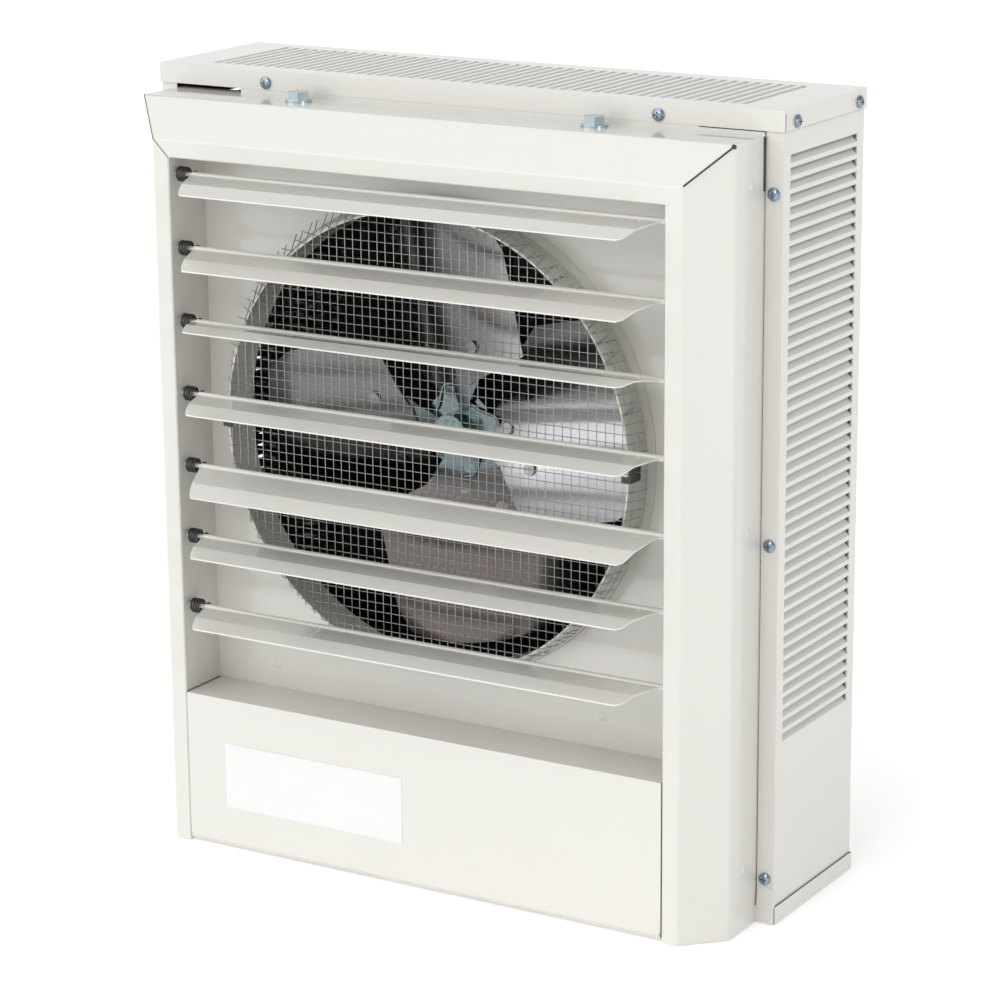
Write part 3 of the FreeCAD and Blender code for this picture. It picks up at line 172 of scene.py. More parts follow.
PAINT = dict(color=(0.585, 0.574, 0.535), rough=0.38, spread=0.010, spread_scale=9, rough_spread=0.03,
             bump=0.045, bump_scale=420, coat=0.9)
SLOT_LOOKS = {
    "cabinet_paint": PAINT,
    "louver_paint": PAINT,
    "zinc": dict(color=(0.34, 0.41, 0.50), tint=(0.42, 0.52, 0.50), rough=0.16, metallic=1.0,
                 spread=0.10, spread_scale=160, rough_spread=0.08),
    "galvanised_wire": dict(color=(0.36, 0.37, 0.36), rough=0.36, metallic=0.9,
                            spread=0.12, spread_scale=220, rough_spread=0.08),
    "black_steel": dict(color=(0.012, 0.012, 0.012), rough=0.32, coat=0.2, spread=0.2, spread_scale=120),
    "blade_aluminium": dict(color=(0.165, 0.157, 0.153), tint=(0.21, 0.205, 0.205), rough=0.19, metallic=1.0,
                            spread=0.16, spread_scale=9, rough_spread=0.07, bump=0.05, bump_scale=60,
                            stretch=(1, 1, 5)),
    "motor_paint": dict(color=(0.012, 0.012, 0.014), rough=0.45,
                        spread=0.2, spread_scale=60, rough_spread=0.08),
    "motor_steel": dict(color=(0.45, 0.45, 0.46), rough=0.32, metallic=1.0, spread=0.08, spread_scale=120),
    "bearing_bronze": dict(color=(0.52, 0.36, 0.17), rough=0.36, metallic=1.0, spread=0.10, spread_scale=120),
    "galvanised_sheet": dict(color=(0.40, 0.41, 0.42), rough=0.38, metallic=0.9,
                             spread=0.14, spread_scale=70, rough_spread=0.08),
    "element_steel": dict(color=(0.10, 0.09, 0.085), tint=(0.13, 0.10, 0.08), rough=0.5, metallic=0.8,
                          spread=0.25, spread_scale=60, rough_spread=0.08),
    "ceramic": dict(color=(0.78, 0.75, 0.68), rough=0.4, spread_scale=60, rough_spread=0.08),
    "black_plastic": dict(color=(0.02, 0.02, 0.02), rough=0.5, spread=0.15, spread_scale=90, bump=0.05),
    "transformer_iron": dict(color=(0.10, 0.09, 0.085), rough=0.5, metallic=0.2,
                             spread=0.2, spread_scale=60, rough_spread=0.08),
    "lug_brass": dict(color=(0.62, 0.44, 0.16), rough=0.3, metallic=1.0, spread=0.08, spread_scale=120),
    "blank_film": dict(color=(0.66, 0.66, 0.655), rough=0.22,
                       spread=0.012, spread_scale=40, rough_spread=0.03, bump=0.02, bump_scale=200),
}
OTHER_LOOKS = {
    "rivet_steel": dict(color=(0.24, 0.24, 0.225), rough=0.13, metallic=1.0,
                        spread=0.1, spread_scale=160, rough_spread=0.04),
    "fan_zinc": dict(color=(0.165, 0.20, 0.22), tint=(0.20, 0.25, 0.255), rough=0.17, metallic=1.0,
                     spread=0.14, spread_scale=45, rough_spread=0.07),
    "hub_zinc": dict(color=(0.17, 0.23, 0.22), tint=(0.23, 0.32, 0.295), rough=0.22, metallic=1.0,
                     spread=0.14, spread_scale=60, rough_spread=0.08),
    "screw_zinc": dict(color=(0.21, 0.265, 0.345), tint=(0.29, 0.35, 0.41), rough=0.12, metallic=1.0,
                       spread=0.10, spread_scale=160, rough_spread=0.05),
    # Dark seam lines, and painted shade in gaps, slots and holes
    "dark_seam_and_painted_shade": dict(color=(0.035, 0.033, 0.030), rough=0.6, spread=0.25, spread_scale=90, rough_spread=0.1),
}
# Outward way of each shell sheet; its faces turned the other way get painted shade
OUTWARD_WAYS = {
    "top_cover": (0, 0, 1),
    "left_side_panel": (-1, 0, 0),
    "right_side_panel": (1, 0, 0),
    "bottom_pan": (0, 0, -1),
    "rear_panel": (0, 1, 0),
    "orifice_plate": (0, -1, 0),
}
NODE_LOOKS = {
    "fan_rivets": "rivet_steel",
    "fan_spider": "fan_zinc",
    "fan_hub": "hub_zinc",
    "cover_screws": "screw_zinc",
    "flange_screws": "screw_zinc",
    "rear_panel_screws": "screw_zinc",
    "motor_bracket_screws": "screw_zinc",
}
mats = {name: finish(name, **look) for name, look in SLOT_LOOKS.items()}
others = {name: finish(name, **look) for name, look in OTHER_LOOKS.items()}
# Each shell sheet's paint, with painted shade on its inner faces
own_mats = {name: finish(name + "_paint", outward=way, **PAINT) for name, way in OUTWARD_WAYS.items()}
own_mats.update({name: others[look] for name, look in NODE_LOOKS.items()})

# Tones of the blades, a painted highlight towards the right and a warmer tone towards the bottom, and where
# each starts and is full, across and up the fan in metres

HIGHLIGHT_ALUMINIUM = (0.50, 0.51, 0.52, 1)
WARM_ALUMINIUM = (0.15, 0.125, 0.115, 1)
BRIGHT_FROM, BRIGHT_TO = 0.02, 0.075
WARM_FROM, WARM_TO = 0.285, 0.245
TONE_MOST = 0.8


def blade_highlight_and_tone(mat):
    """Paints a highlight onto the blades' sheet towards the right of the fan, as a painted reflection, and
    turns it to a warm tone towards the bottom.
    """
    tree = mat.node_tree
    shader = tree.nodes["Principled BSDF"]
    color = shader.inputs["Base Color"].links[0].from_socket
    place = next(node for node in tree.nodes if node.type == "TEX_COORD")
    axes = tree.nodes.new("ShaderNodeSeparateXYZ")
    tree.links.new(place.outputs["Object"], axes.inputs["Vector"])
    runs = (("X", BRIGHT_FROM, BRIGHT_TO, HIGHLIGHT_ALUMINIUM), ("Z", WARM_FROM, WARM_TO, WARM_ALUMINIUM))
    for axis, start, end, tone in runs:
        reach = tree.nodes.new("ShaderNodeMapRange")
        reach.interpolation_type = "SMOOTHSTEP"
        reach.inputs["From Min"].default_value = start
        reach.inputs["From Max"].default_value = end
        reach.inputs["To Max"].default_value = TONE_MOST
        tree.links.new(axes.outputs[axis], reach.inputs["Value"])
        color = blended(tree, reach.outputs["Result"], color, tone)
    tree.links.new(color, shader.inputs["Base Color"])


# Painted highlight and warmer tone on the fan's blades
blade_highlight_and_tone(mats["blade_aluminium"])
slot_of = {part["node"]: part["material_slot"] for part in record["subparts"]}
for name, piece in nodes.items():
    piece.data.materials.clear()
    piece.data.materials.append(own_mats.get(name, mats[slot_of[name]]))

# Folded and formed edges

EDGE_WIDTHS = {"access_door": 0.5, "bottom_pan": 0.4, "blank_label": 0.1, "fan_hub": 2.0, "fan_rivets": 1.5}
EDGE_SEGMENTS = 3
EDGE_ANGLE = math.radians(32)
MERGE_REACH = 0.00002


def soften(name, width):
    """Rounds a piece's folded edges as a press brake leaves them."""
    piece = nodes[name]
    weld = piece.modifiers.new("weld", "WELD")
    weld.merge_threshold = MERGE_REACH
    edge = piece.modifiers.new("edges", "BEVEL")
    edge.width = width
    edge.segments = EDGE_SEGMENTS
    edge.limit_method = "ANGLE"
    edge.angle_limit = EDGE_ANGLE
    edge.use_clamp_overlap = True
    edge.harden_normals = True


for name, width in EDGE_WIDTHS.items():
    soften(name, width * MM)

# Shapes made here

NEARLY_ALONG_Y = 0.2
MOSTLY_ALONG_X = 0.7


def mesh_piece(name, vertices, faces, body, slot_name, smooth=True, mat=None):
    """Makes a mesh into a named piece that moves with a body and has a material slot."""
    data = bpy.data.meshes.new(name)
    data.from_pydata([tuple(v) for v in vertices], [], faces)
    data.validate()
    data.update()
    if smooth:
        data.polygons.foreach_set("use_smooth", [True] * len(data.polygons))
    data.materials.append(mat or mats[slot_name])
    piece = bpy.data.objects.new(name, data)
    bpy.context.scene.collection.objects.link(piece)
    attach(piece, body)
    return piece


def wire_along(points, radius, sides, vertices, faces, closed=False):
    """Adds a round wire along a path to the lists."""
    count = len(points)
    start = len(vertices)
    for i, point in enumerate(points):
        before = points[i - 1] if i or closed else points[0]
        after = points[(i + 1) % count] if i < count - 1 or closed else points[-1]
        way = (after - before).normalized()
        side = way.cross(Vector((0, 1, 0)))
        if side.length < NEARLY_ALONG_Y:
            side = way.cross(Vector((1, 0, 0)) if abs(way.x) < MOSTLY_ALONG_X else Vector((0, 0, 1)))
        side.normalize()
        up = side.cross(way)
        for k in range(sides):
            turn = 2 * math.pi * k / sides
            vertices.append(point + (side * math.cos(turn) + up * math.sin(turn)) * radius)
    rings = count if closed else count - 1
    for i in range(rings):
        a = start + i * sides
        b = start + ((i + 1) % count) * sides
        for k in range(sides):
            n = (k + 1) % sides
            faces.append((a + k, a + n, b + n, b + k))
    if not closed:
        faces.append(tuple(start + k for k in reversed(range(sides))))
        faces.append(tuple(start + (count - 1) * sides + k for k in range(sides)))


# Wire cloth over the collar, in metres

CLOTH_PITCH = 6.35 * MM
CLOTH_WIRE = 0.31 * MM
CLOTH_SIDES = 6
CLOTH_REACH = COLLAR_R + 0.75 * MM
CLOTH_Y = (collar_low.y - 0.6) * MM
LAYER_OFFSET = 0.38 * MM
SHORTEST_HALF = 14 * MM
FOLD_IN = 0.9 * MM
FOLD_BACK = 1.6 * MM
FLAT_MARGIN = 2 * MM
FLAT_PIECES = 7
PITCH_STRAY = 0.12 * MM
FLAT_STRAY = 0.1 * MM
LEAST_FLARE, MOST_FLARE = 2.5 * MM, 5.0 * MM
LOOSE_FLARE = 7 * MM
LEAST_TAIL, MOST_TAIL = 13 * MM, 18 * MM
LOOSE_TAIL = 8 * MM
LOOSE_FADE = 1.42
LOOSE_POWER = 3
HOOPS = 3
HOOP_STEPS = 120
HOOP_SPACING = 5.2 * MM
HOOP_START = 0.2 * MM
HOOP_FLARE = 1.4 * MM
HOOP_STRAY = 0.3 * MM
HOOP_WAVE = 0.25 * MM


def cloth_wire(upright, across, half, layer):
    """One wire of the cloth, flat over the collar and folded back at its ends, looser at the upper left."""

    def at(along, y):
        if upright:
            return Vector((across, y, FAN.z + along))
        return Vector((along, y, FAN.z + across))

    flare, tail = [], []
    for end in (-1, 1):
        tip = at(end * half, 0) - FAN
        loose = max(0, (tip.z - tip.x) / CLOTH_REACH / LOOSE_FADE) ** LOOSE_POWER
        flare.append(rng.uniform(LEAST_FLARE, MOST_FLARE) + LOOSE_FLARE * loose)
        tail.append(rng.uniform(LEAST_TAIL, MOST_TAIL) - LOOSE_TAIL * loose)
    path = [at(-half - flare[0], layer + tail[0])]
    path += [at(-half, layer + FOLD_BACK), at(-half + FOLD_IN, layer)]
    for k in range(1, FLAT_PIECES):
        point = at((-1 + 2 * k / FLAT_PIECES) * (half - FLAT_MARGIN), layer)
        stray = rng.uniform(-FLAT_STRAY, FLAT_STRAY)
        path.append(point + (Vector((stray, 0, 0)) if upright else Vector((0, 0, stray))))
    path += [at(half - FOLD_IN, layer), at(half, layer + FOLD_BACK)]
    path.append(at(half + flare[1], layer + tail[1]))
    return path


def cloth_hoop(order):
    """One wire that runs around the folded skirt."""
    hoop = []
    for step in range(HOOP_STEPS):
        turn = 2 * math.pi * step / HOOP_STEPS
        r = CLOTH_REACH + HOOP_START + HOOP_FLARE * order + rng.uniform(-HOOP_STRAY, HOOP_STRAY)
        y = CLOTH_Y + HOOP_SPACING * order + rng.uniform(-HOOP_WAVE, HOOP_WAVE)
        hoop.append(Vector((r * math.cos(turn), y, FAN.z + r * math.sin(turn))))
    return hoop


def guard_cloth():
    """Two crossing layers of wires with hoops around the skirt, shown for the holed disc and plain skirt."""
    vertices, faces = [], []
    steps = int(CLOTH_REACH / CLOTH_PITCH)
    for upright in (True, False):
        layer = CLOTH_Y + (-LAYER_OFFSET if upright else LAYER_OFFSET)
        for i in range(-steps, steps + 1):
            across = i * CLOTH_PITCH + rng.uniform(-PITCH_STRAY, PITCH_STRAY)
            half = math.sqrt(max(0, CLOTH_REACH * CLOTH_REACH - across * across))
            if half >= SHORTEST_HALF:
                wire_along(cloth_wire(upright, across, half, layer), CLOTH_WIRE, CLOTH_SIDES, vertices, faces)
    for order in range(1, HOOPS + 1):
        wire_along(cloth_hoop(order), CLOTH_WIRE, CLOTH_SIDES, vertices, faces, closed=True)
    cloth = mesh_piece("guard_cloth", vertices, faces, "cabinet", "galvanised_wire")
    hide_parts("fan_guard", "guard_skirt")


guard_cloth()

# Scalloped plate with a rolled rim at the middle of the fan, in metres and degrees

ARMS = 4
ARM_SPIN = 12
ARM_STEPS = 12
ARM_R = 32 * MM
SCALLOP_DEPTH = 10.5 * MM
ARM_FLAT = 10
SCALLOP_RUN = 30
FAN_PLATE_Y = FAN.y + 1.0 * MM
FAN_PLATE_RISE = 1.5 * MM
RING_SHARES = (0.12, 0.3)
RIM_R = 1.3 * MM
RIM_LIFT = 0.6 * MM
RIM_SIDES = 10


def arm_radius(turn):
    """The plate's radius at an angle from the middle of its arm."""
    run = max(0, math.degrees(abs(turn)) - ARM_FLAT) / SCALLOP_RUN
    return ARM_R - SCALLOP_DEPTH * math.sin(math.pi / 2 * min(1, run))


def fan_plate():
    """A shallow cone inside the scalloped outline, with a round rim along it."""
    outline = []
    for arm in range(ARMS):
        for k in range(-ARM_STEPS, ARM_STEPS):
            turn = k / ARM_STEPS * math.pi / ARMS
            place = math.radians(ARM_SPIN) + arm * 2 * math.pi / ARMS + turn
            r = arm_radius(turn)
            outline.append(Vector((r * math.cos(place), FAN_PLATE_Y, FAN.z + r * math.sin(place))))
    count = len(outline)
    centre = Vector((0, FAN_PLATE_Y - FAN_PLATE_RISE, FAN.z))
    rings = [outline] + [[p + (centre - p) * share for p in outline] for share in RING_SHARES]
    vertices = [p for ring in rings for p in ring] + [centre]
    faces = []
    for ring in range(len(rings) - 1):
        a, b = ring * count, (ring + 1) * count
        for k in range(count):
            n = (k + 1) % count
            faces.append((a + k, a + n, b + n, b + k))
    last = (len(rings) - 1) * count
    faces += [(last + k, last + (k + 1) % count, len(vertices) - 1) for k in range(count)]
    rim = [p - Vector((0, RIM_LIFT, 0)) for p in outline]
    wire_along(rim, RIM_R, RIM_SIDES, vertices, faces, closed=True)
    mesh_piece("fan_plate", vertices, faces, "fan", "zinc", mat=others["fan_zinc"])


fan_plate()

# Beads, domes and strips, all given in millimetres

BEAD_SIDES = 8
DOME_RINGS = 4
DOME_SIDES = 16


def bead(name, start, end, radius, body="cabinet"):
    """A dark line along a seam, or painted shade along a gap."""
    vertices, faces = [], []
    wire_along([Vector(start) * MM, Vector(end) * MM], radius * MM, BEAD_SIDES, vertices, faces)
    return mesh_piece(name, vertices, faces, body, "black_steel", mat=others["dark_seam_and_painted_shade"])


def dome_at(place, normal, radius, height, vertices, faces):
    """Adds a shallow round bump to the lists, as a spot weld, a relief hole or a screw head shows."""
    normal = Vector(normal).normalized()
    side = normal.orthogonal().normalized()
    other = normal.cross(side)
    centre = Vector(place) * MM
    start = len(vertices)
    for ring in range(DOME_RINGS):
        tilt = math.pi / 2 * ring / DOME_RINGS
        for k in range(DOME_SIDES):
            turn = 2 * math.pi * k / DOME_SIDES
            way = side * math.cos(turn) + other * math.sin(turn)
            rise = normal * height * MM * math.sin(tilt)
            vertices.append(centre + way * radius * MM * math.cos(tilt) + rise)
    vertices.append(centre + normal * height * MM)
    for ring in range(DOME_RINGS):
        a = start + ring * DOME_SIDES
        b = a + DOME_SIDES
        for k in range(DOME_SIDES):
            n = (k + 1) % DOME_SIDES
            faces.append((a + k, a + n, b + n, b + k) if ring < DOME_RINGS - 1 else (a + k, a + n, b))


def dome(name, place, normal, radius, height, slot_name="cabinet_paint", mat=None):
    """One shallow round bump as a piece of its own."""
    vertices, faces = [], []
    dome_at(place, normal, radius, height, vertices, faces)
    return mesh_piece(name, vertices, faces, "cabinet", slot_name, mat=mat)


def strip(name, left, right, section, body):
    """A thin painted strip of one section, given as y and z in turn, between two places across."""
    count = len(section)
    corners = [Vector((x, y, z)) * MM for x in (left, right) for y, z in section]
    sides = [tuple(reversed(range(count))), tuple(range(count, 2 * count))]
    sides += [(k, (k + 1) % count, count + (k + 1) % count, count + k) for k in range(count)]
    return mesh_piece(name, corners, sides, body, "cabinet_paint", smooth=False)


# Screw heads in the wiring space

TERMINAL_POLES = 6
TERMINAL_RIB = 2.5
TERMINAL_SEAT = 17.9
TERMINAL_FRONT_ROW, TERMINAL_REAR_ROW = 6.5, 19
CONTACTOR_POLES = 3
CONTACTOR_SEAT = 45.9
CONTACTOR_ROW = 5.5
HEAD_R = 3.6
HEAD_HEIGHT = 2.0


def wiring_screws():
    """Two heads for each pole of the terminal block and one for each pole of the contactor."""
    vertices, faces = [], []
    pitch = (terminal_high.x - terminal_low.x - TERMINAL_RIB) / TERMINAL_POLES
    places = [terminal_low + Vector((TERMINAL_RIB / 2 + pitch * (pole + 0.5), row, TERMINAL_SEAT))
              for pole in range(TERMINAL_POLES) for row in (TERMINAL_FRONT_ROW, TERMINAL_REAR_ROW)]
    pitch = (contactor_high.x - contactor_low.x) / CONTACTOR_POLES
    places += [contactor_low + Vector((pitch * (pole + 0.5), CONTACTOR_ROW, CONTACTOR_SEAT))
               for pole in range(CONTACTOR_POLES)]
    for place in places:
        dome_at(place, (0, 0, 1), HEAD_R, HEAD_HEIGHT, vertices, faces)
    mesh_piece("wiring_screws", vertices, faces, "cabinet", "zinc")


wiring_screws()

# Mitred corners of the frame

ALONG_MITRE = Vector((1, 1, 1))
MIRROR = Vector((-1, 1, 1))
SLOT_INSET, SLOT_END = 0.6, 1.4
SLOT_R = 0.62
RELIEF_R, RELIEF_HEIGHT = 1.7, 0.6
SEAM_INSET = Vector((0.2, 0, 0.2))
SEAM_FACE_R, SEAM_BEVEL_R = 0.28, 0.30


def mitres():
    """An open slot with a relief hole on the right, both dark as painted shade, and a closed seam on the left.
    """
    corner = Vector((stile_high.x, stile_low.y + FRAME_BEVEL, stile_high.z))
    fold = corner - ALONG_MITRE * FRAME_BEVEL
    slot_end = corner - ALONG_MITRE * SLOT_END
    bead("mitre_slot_right", fold + ALONG_MITRE * SLOT_INSET, slot_end, SLOT_R)
    dome("mitre_relief_right", slot_end, (1, -1, 1), RELIEF_R, RELIEF_HEIGHT,
         "black_steel", others["dark_seam_and_painted_shade"])
    bead("mitre_seam_left_1", (frame_opening + SEAM_INSET) * MIRROR, fold * MIRROR, SEAM_FACE_R)
    bead("mitre_seam_left_2", fold * MIRROR, corner * MIRROR, SEAM_BEVEL_R)


mitres()

# Painted shade in the gaps beside the frame and around the cover

FINE_R = 0.3
FRAME_GAP_R = 0.75
FRAME_GAP_OFF = 0.4
FRAME_GAP_LOW = 490
FRAME_GAP_END = 0.5
COVER_GAP_START = 180
COVER_GAP_FRONT, COVER_GAP_DROP = 0.1, 0.3
COVER_CORNER_IN, COVER_CORNER_BACK = 0.05, 0.9
COVER_CORNER_LOW, COVER_CORNER_HIGH = 0.5, 2
COVER_EDGE_IN, COVER_EDGE_DROP = 0.9, 0.2
COVER_EDGE_FRONT, COVER_EDGE_REAR = 1.5, 2


def gaps():
    """Dark lines of painted shade in the gap at the frame's upper right, the one under the cover's lip, and
    the cover's edges.
    """
    gap_x, gap_y = stile_high.x + FRAME_GAP_OFF, pan_low.y - FRAME_GAP_OFF
    gap_top = stile_high.z - FRAME_GAP_END
    bead("frame_gap_upper", (gap_x, gap_y, FRAME_GAP_LOW), (gap_x, gap_y, gap_top), FRAME_GAP_R)
    lip_y, lip_z = cover_low.y - COVER_GAP_FRONT, cover_low.z - COVER_GAP_DROP
    bead("cover_gap_right", (COVER_GAP_START, lip_y, lip_z), (stile_high.x, lip_y, lip_z), FINE_R)
    for hand, side in SIDES.items():
        x, y = side * (cover_high.x - COVER_CORNER_IN), cover_low.y + COVER_CORNER_BACK
        low, high = cover_low.z + COVER_CORNER_LOW, cover_high.z - COVER_CORNER_HIGH
        bead(f"cover_corner_{hand}", (x, y, low), (x, y, high), FINE_R)
        x, z = side * (cover_high.x - COVER_EDGE_IN), cover_low.z - COVER_EDGE_DROP
        front, rear = cover_low.y + COVER_EDGE_FRONT, cover_high.y - COVER_EDGE_REAR
        bead(f"cover_edge_{hand}", (x, front, z), (x, rear, z), FINE_R)


gaps()

# Spot welds, and painted shade behind the rear bracket's holes

CORNER_WELD_OFF = Vector((1.6, 0, 1.7))
CORNER_WELD_R = 1.9
WELD_R = 3.1
WELD_HEIGHT = 0.5
FRAME_WELD_Y = -45.5
FRAME_WELD_HEIGHTS = (42, 272, 495.6)
PLATE_WELDS = ((122, 132), (-138.5, 127))
SHADE_MARGIN = 1.2
SHADE_OFF = 0.4
SHADE_HEIGHT = 0.5


def spot_welds():
    """Marks at the opening's corner, down the right stile's side and on the orifice plate."""
    dome("corner_weld", frame_opening + CORNER_WELD_OFF, (0, -1, 0), CORNER_WELD_R, WELD_HEIGHT)
    for mark, z in enumerate(FRAME_WELD_HEIGHTS):
        dome(f"frame_weld_{mark + 1}", (stile_high.x, FRAME_WELD_Y, z), (1, 0, 0), WELD_R, WELD_HEIGHT)
    for mark, (x, z) in enumerate(PLATE_WELDS):
        dome(f"plate_weld_{mark + 1}", (x, plate_low.y, z), (0, -1, 0), WELD_R, WELD_HEIGHT)


def hole_shades():
    """A dark disc just inside each of the bracket's four holes."""
    sizes = bracket["dims"]
    middle_z = bracket["pos_m"][2] / MM
    holes = [(x * sizes["spacing_x_mm"] / 2, middle_z + z * sizes["spacing_y_mm"] / 2)
             for z in (-1, 1) for x in (-1, 1)]
    for mark, (x, z) in enumerate(holes):
        place = (x, rear_panel_low.y - SHADE_OFF, z)
        dome(f"hole_shade_{mark + 1}", place, (0, -1, 0), sizes["hole_r_mm"] + SHADE_MARGIN, SHADE_HEIGHT,
             "black_steel", others["dark_seam_and_painted_shade"])


spot_welds()
hole_shades()

# Painted strips and lines at the door, the flanges and the stiles

LEDGE_GAP_OUT, LEDGE_GAP_UP, LEDGE_GAP_R = 0.15, 0.05, 0.38
LEDGE_GAP_FRONT, LEDGE_GAP_REAR = 0.5, 0.3
LIP_INSET = 0.9
LIP_LOW, LIP_FULL, LIP_HIGH = 3.7, 6.4, 20
LIP_THICK = 0.28
LINE_R, LINE_OUT, LINE_HEIGHT = 0.18, 0.12, 3.95
FLANGE_STRIP_LEFT = -172
FLANGE_STRIP_FRONT, FLANGE_STRIP_REAR = 0.05, 0.9
FLANGE_STRIP_LOW, FLANGE_STRIP_HIGH = 5.5, 0.1
FOOT_LOW, FOOT_FULL, FOOT_HIGH = 11, 12.4, 25
FOOT_PROUD, FOOT_TIP, FOOT_SUNK = 0.35, 0.35, 0.2
FOOT_INNER, FOOT_OUTER = 1, 0.1
FOOT_SEAM_IN, FOOT_SEAM_BACK = 0.05, 0.2
FOOT_SEAM_LOW, FOOT_SEAM_HIGH = 0.6, 0.2
SOLE_LOW, SOLE_HIGH = 0.2, 0.8
SOLE_BACK = 0.7
SOLE_INNER, SOLE_OUTER = 0.5, 1


def door_marks():
    """The ledge's end gaps and the line along the door's foot, both dark lines of painted shade, and the wedge
    along the door's foot.
    """
    z = door_high.z + LEDGE_GAP_UP
    for hand, side in SIDES.items():
        x = side * (door_high.x + LEDGE_GAP_OUT)
        bead(f"ledge_gap_{hand}", (x, door_low.y + LEDGE_GAP_FRONT, z), (x, door_high.y - LEDGE_GAP_REAR, z),
             LEDGE_GAP_R, "door")
    half = door_high.x - LIP_INSET
    front = door_low.y - LIP_THICK
    section = ((door_low.y, LIP_LOW), (door_low.y, LIP_HIGH), (front, LIP_FULL), (front, LIP_LOW))
    strip("door_lip", -half, half, section, "door")
    line_y = door_low.y - LINE_OUT
    bead("door_line", (-half, line_y, LINE_HEIGHT), (half, line_y, LINE_HEIGHT), LINE_R, "door")


def flange_marks():
    """The strip under the cover's lip, and each side's flange foot, its seam and the stile's sole."""
    front, rear = cover_low.y + FLANGE_STRIP_FRONT, cover_low.y + FLANGE_STRIP_REAR
    low, high = cover_low.z - FLANGE_STRIP_LOW, cover_low.z - FLANGE_STRIP_HIGH
    section = ((rear, low), (rear, high), (front, high), (front, low))
    strip("flange_strip", FLANGE_STRIP_LEFT, stile_high.x, section, "cabinet")
    proud, tip, sunk = pan_low.y - FOOT_PROUD, flange_y - FOOT_TIP, flange_y - FOOT_SUNK
    foot = ((sunk, FOOT_LOW), (sunk, FOOT_HIGH), (tip, FOOT_HIGH), (proud, FOOT_FULL), (proud, FOOT_LOW))
    sole_back = pan_low.y - SOLE_BACK
    sole = ((plate_low.y, SOLE_LOW), (plate_low.y, SOLE_HIGH), (sole_back, SOLE_HIGH), (sole_back, SOLE_LOW))
    for hand, side in SIDES.items():
        left, right = sorted((side * (stile_high.x + FOOT_INNER), side * (pan_high.x - FOOT_OUTER)))
        strip(f"flange_foot_{hand}", left, right, foot, "cabinet")
        left, right = sorted((side * (stile_low.x + SOLE_INNER), side * (stile_high.x - SOLE_OUTER)))
        strip(f"stile_foot_{hand}", left, right, sole, "cabinet")
        x, y = side * (pan_high.x - FOOT_SEAM_IN), pan_low.y + FOOT_SEAM_BACK
        bead(f"foot_seam_{hand}", (x, y, FOOT_SEAM_LOW), (x, y, pan_high.z + FOOT_SEAM_HIGH), FINE_R)


door_marks()
flange_marks()

# Stage, in metres

FLOOR_HALF = 20
FLOOR_Z = -0.0006
FLOOR_GLOW = 0.27
LAMP_AIM = (0, 0, 0.3)
WHITE = (1, 1, 1)


def floor_sheet():
    """A wide white floor that glows a little, so that it meets the background."""
    corners = [(x * FLOOR_HALF, y * FLOOR_HALF, FLOOR_Z) for x, y in ((-1, -1), (1, -1), (1, 1), (-1, 1))]
    data = bpy.data.meshes.new("floor")
    data.from_pydata(corners, [], [(0, 1, 2, 3)])
    mat = finish("floor", (0.94, 0.94, 0.935), rough=0.55, spread=0.004, spread_scale=3, rough_spread=0.02)
    shader = mat.node_tree.nodes["Principled BSDF"]
    shader.inputs["Emission Color"].default_value = (*WHITE, 1)
    shader.inputs["Emission Strength"].default_value = FLOOR_GLOW
    data.materials.append(mat)
    floor = bpy.data.objects.new("floor", data)
    bpy.context.scene.collection.objects.link(floor)


def lamp(name, place, size, power, color=WHITE):
    """A rectangular lamp aimed at the middle of the heater."""
    data = bpy.data.lights.new(name, "AREA")
    data.shape = "RECTANGLE"
    data.size, data.size_y = size
    data.energy = power
    data.color = color
    light = bpy.data.objects.new(name, data)
    light.location = place
    light.rotation_mode = "QUATERNION"
    light.rotation_quaternion = (Vector(LAMP_AIM) - Vector(place)).to_track_quat("-Z", "Y")
    bpy.context.scene.collection.objects.link(light)
    return light


ROOM_STRENGTH = 0.60
ROOM_TONES = ((0.12, 1.8), (0.35, 0.95), (0.9, 1.1))
CARD_WAY = (-0.45, -0.64, 0.62)
CARD_EDGE, CARD_FULL = 0.72, 0.86
CARD_LIGHT = (2.2, 2.2, 2.25, 1)


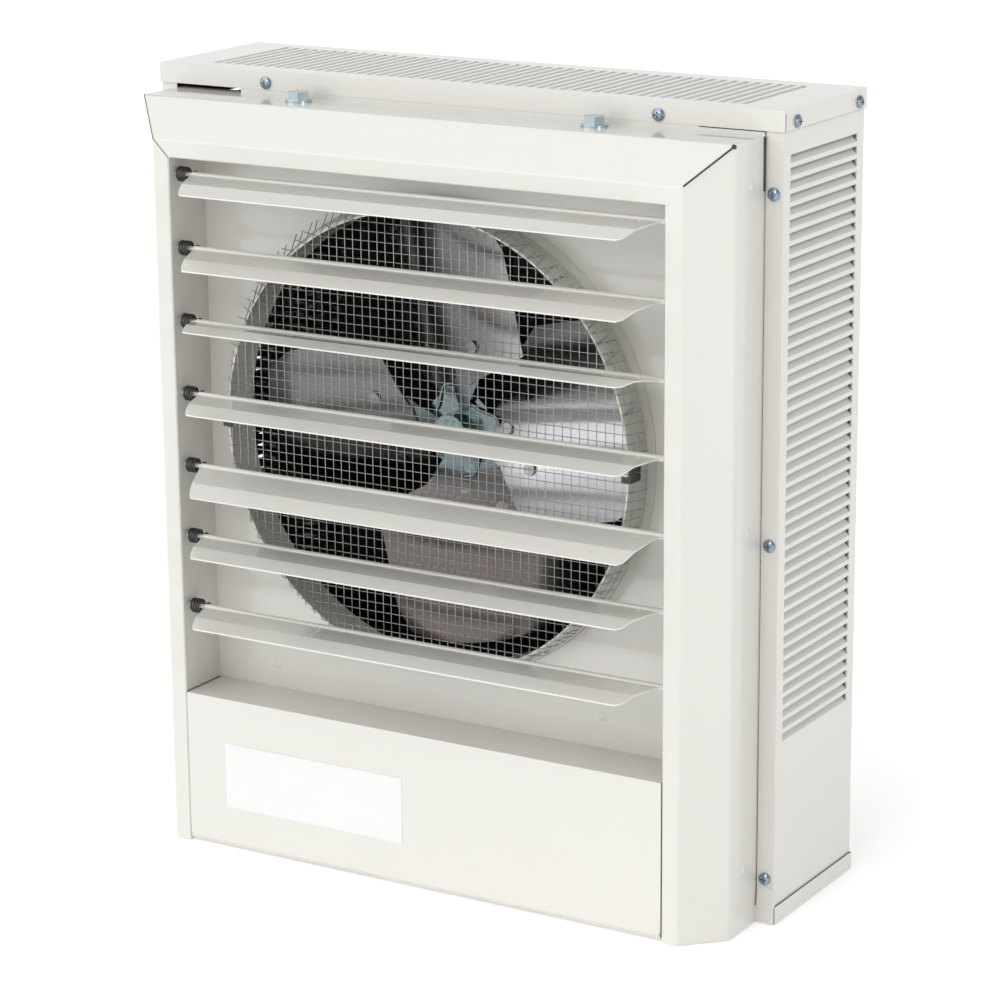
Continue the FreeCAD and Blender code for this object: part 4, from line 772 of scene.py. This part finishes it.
def room(scene):
    """Soft light from all round, brightest low down, with a bright card above the front on the left."""
    world = bpy.data.worlds.new("room")
    scene.world = world
    world.use_nodes = True
    sky = world.node_tree
    backdrop = sky.nodes["Background"]
    backdrop.inputs["Strength"].default_value = ROOM_STRENGTH
    where = sky.nodes.new("ShaderNodeTexCoord")
    height = sky.nodes.new("ShaderNodeSeparateXYZ")
    sky.links.new(where.outputs["Generated"], height.inputs["Vector"])
    shade = sky.nodes.new("ShaderNodeValToRGB")
    stops = shade.color_ramp.elements
    stops.new(ROOM_TONES[-1][0])
    for stop, (position, tone) in zip(stops, ROOM_TONES):
        stop.position = position
        stop.color = (tone, tone, tone, 1)
    sky.links.new(height.outputs["Z"], shade.inputs["Fac"])
    toward = sky.nodes.new("ShaderNodeVectorMath")
    toward.operation = "DOT_PRODUCT"
    toward.inputs[1].default_value = CARD_WAY
    sky.links.new(where.outputs["Generated"], toward.inputs[0])
    card = sky.nodes.new("ShaderNodeMapRange")
    card.inputs["From Min"].default_value = CARD_EDGE
    card.inputs["From Max"].default_value = CARD_FULL
    card.interpolation_type = "SMOOTHSTEP"
    sky.links.new(toward.outputs["Value"], card.inputs["Value"])
    both = sky.nodes.new("ShaderNodeMix")
    both.data_type = "RGBA"
    both.blend_type = "ADD"
    both.inputs[MIX_SECOND].default_value = CARD_LIGHT
    sky.links.new(card.outputs["Result"], both.inputs[MIX_SHARE])
    sky.links.new(shade.outputs["Color"], both.inputs[MIX_FIRST])
    sky.links.new(both.outputs[MIX_RESULT], backdrop.inputs["Color"])


scene = bpy.context.scene
floor_sheet()
room(scene)
lamp("key", place=(0.5, -3.0, 1.8), size=(1.6, 1.2), power=14, color=(1.0, 0.99, 0.975))
lamp("side", place=(2.6, -0.9, 1.2), size=(1.0, 1.6), power=12)
scene.view_settings.view_transform = "Standard"

# Camera, in metres and degrees

CAMERA_PLACE = (1.159, -1.900, 0.857)
CAMERA_YAW, CAMERA_PITCH, CAMERA_ROLL = 31.07, 15.19, -0.47
SENSOR_WIDTH = 36
FOCAL_SHARE = 3.371
FARTHEST = 100


def aimed_camera():
    """A camera turned left by the yaw, down by the pitch and about its own axis by the roll."""
    camera = bpy.data.objects.new("camera", bpy.data.cameras.new("camera"))
    yaw, pitch, roll = (math.radians(v) for v in (CAMERA_YAW, CAMERA_PITCH, CAMERA_ROLL))
    level = Vector((-math.sin(yaw), math.cos(yaw), 0))
    forward = level * math.cos(pitch) - Vector((0, 0, math.sin(pitch)))
    right = Vector((math.cos(yaw), math.sin(yaw), 0))
    up = right.cross(forward)
    right, up = right * math.cos(roll) + up * math.sin(roll), up * math.cos(roll) - right * math.sin(roll)
    turn = Matrix((right, up, -forward)).transposed()
    camera.matrix_world = Matrix.Translation(CAMERA_PLACE) @ turn.to_4x4()
    camera.data.sensor_width = SENSOR_WIDTH
    camera.data.lens = SENSOR_WIDTH * FOCAL_SHARE
    camera.data.clip_end = FARTHEST
    return camera


scene.camera = aimed_camera()
scene.collection.objects.link(scene.camera)
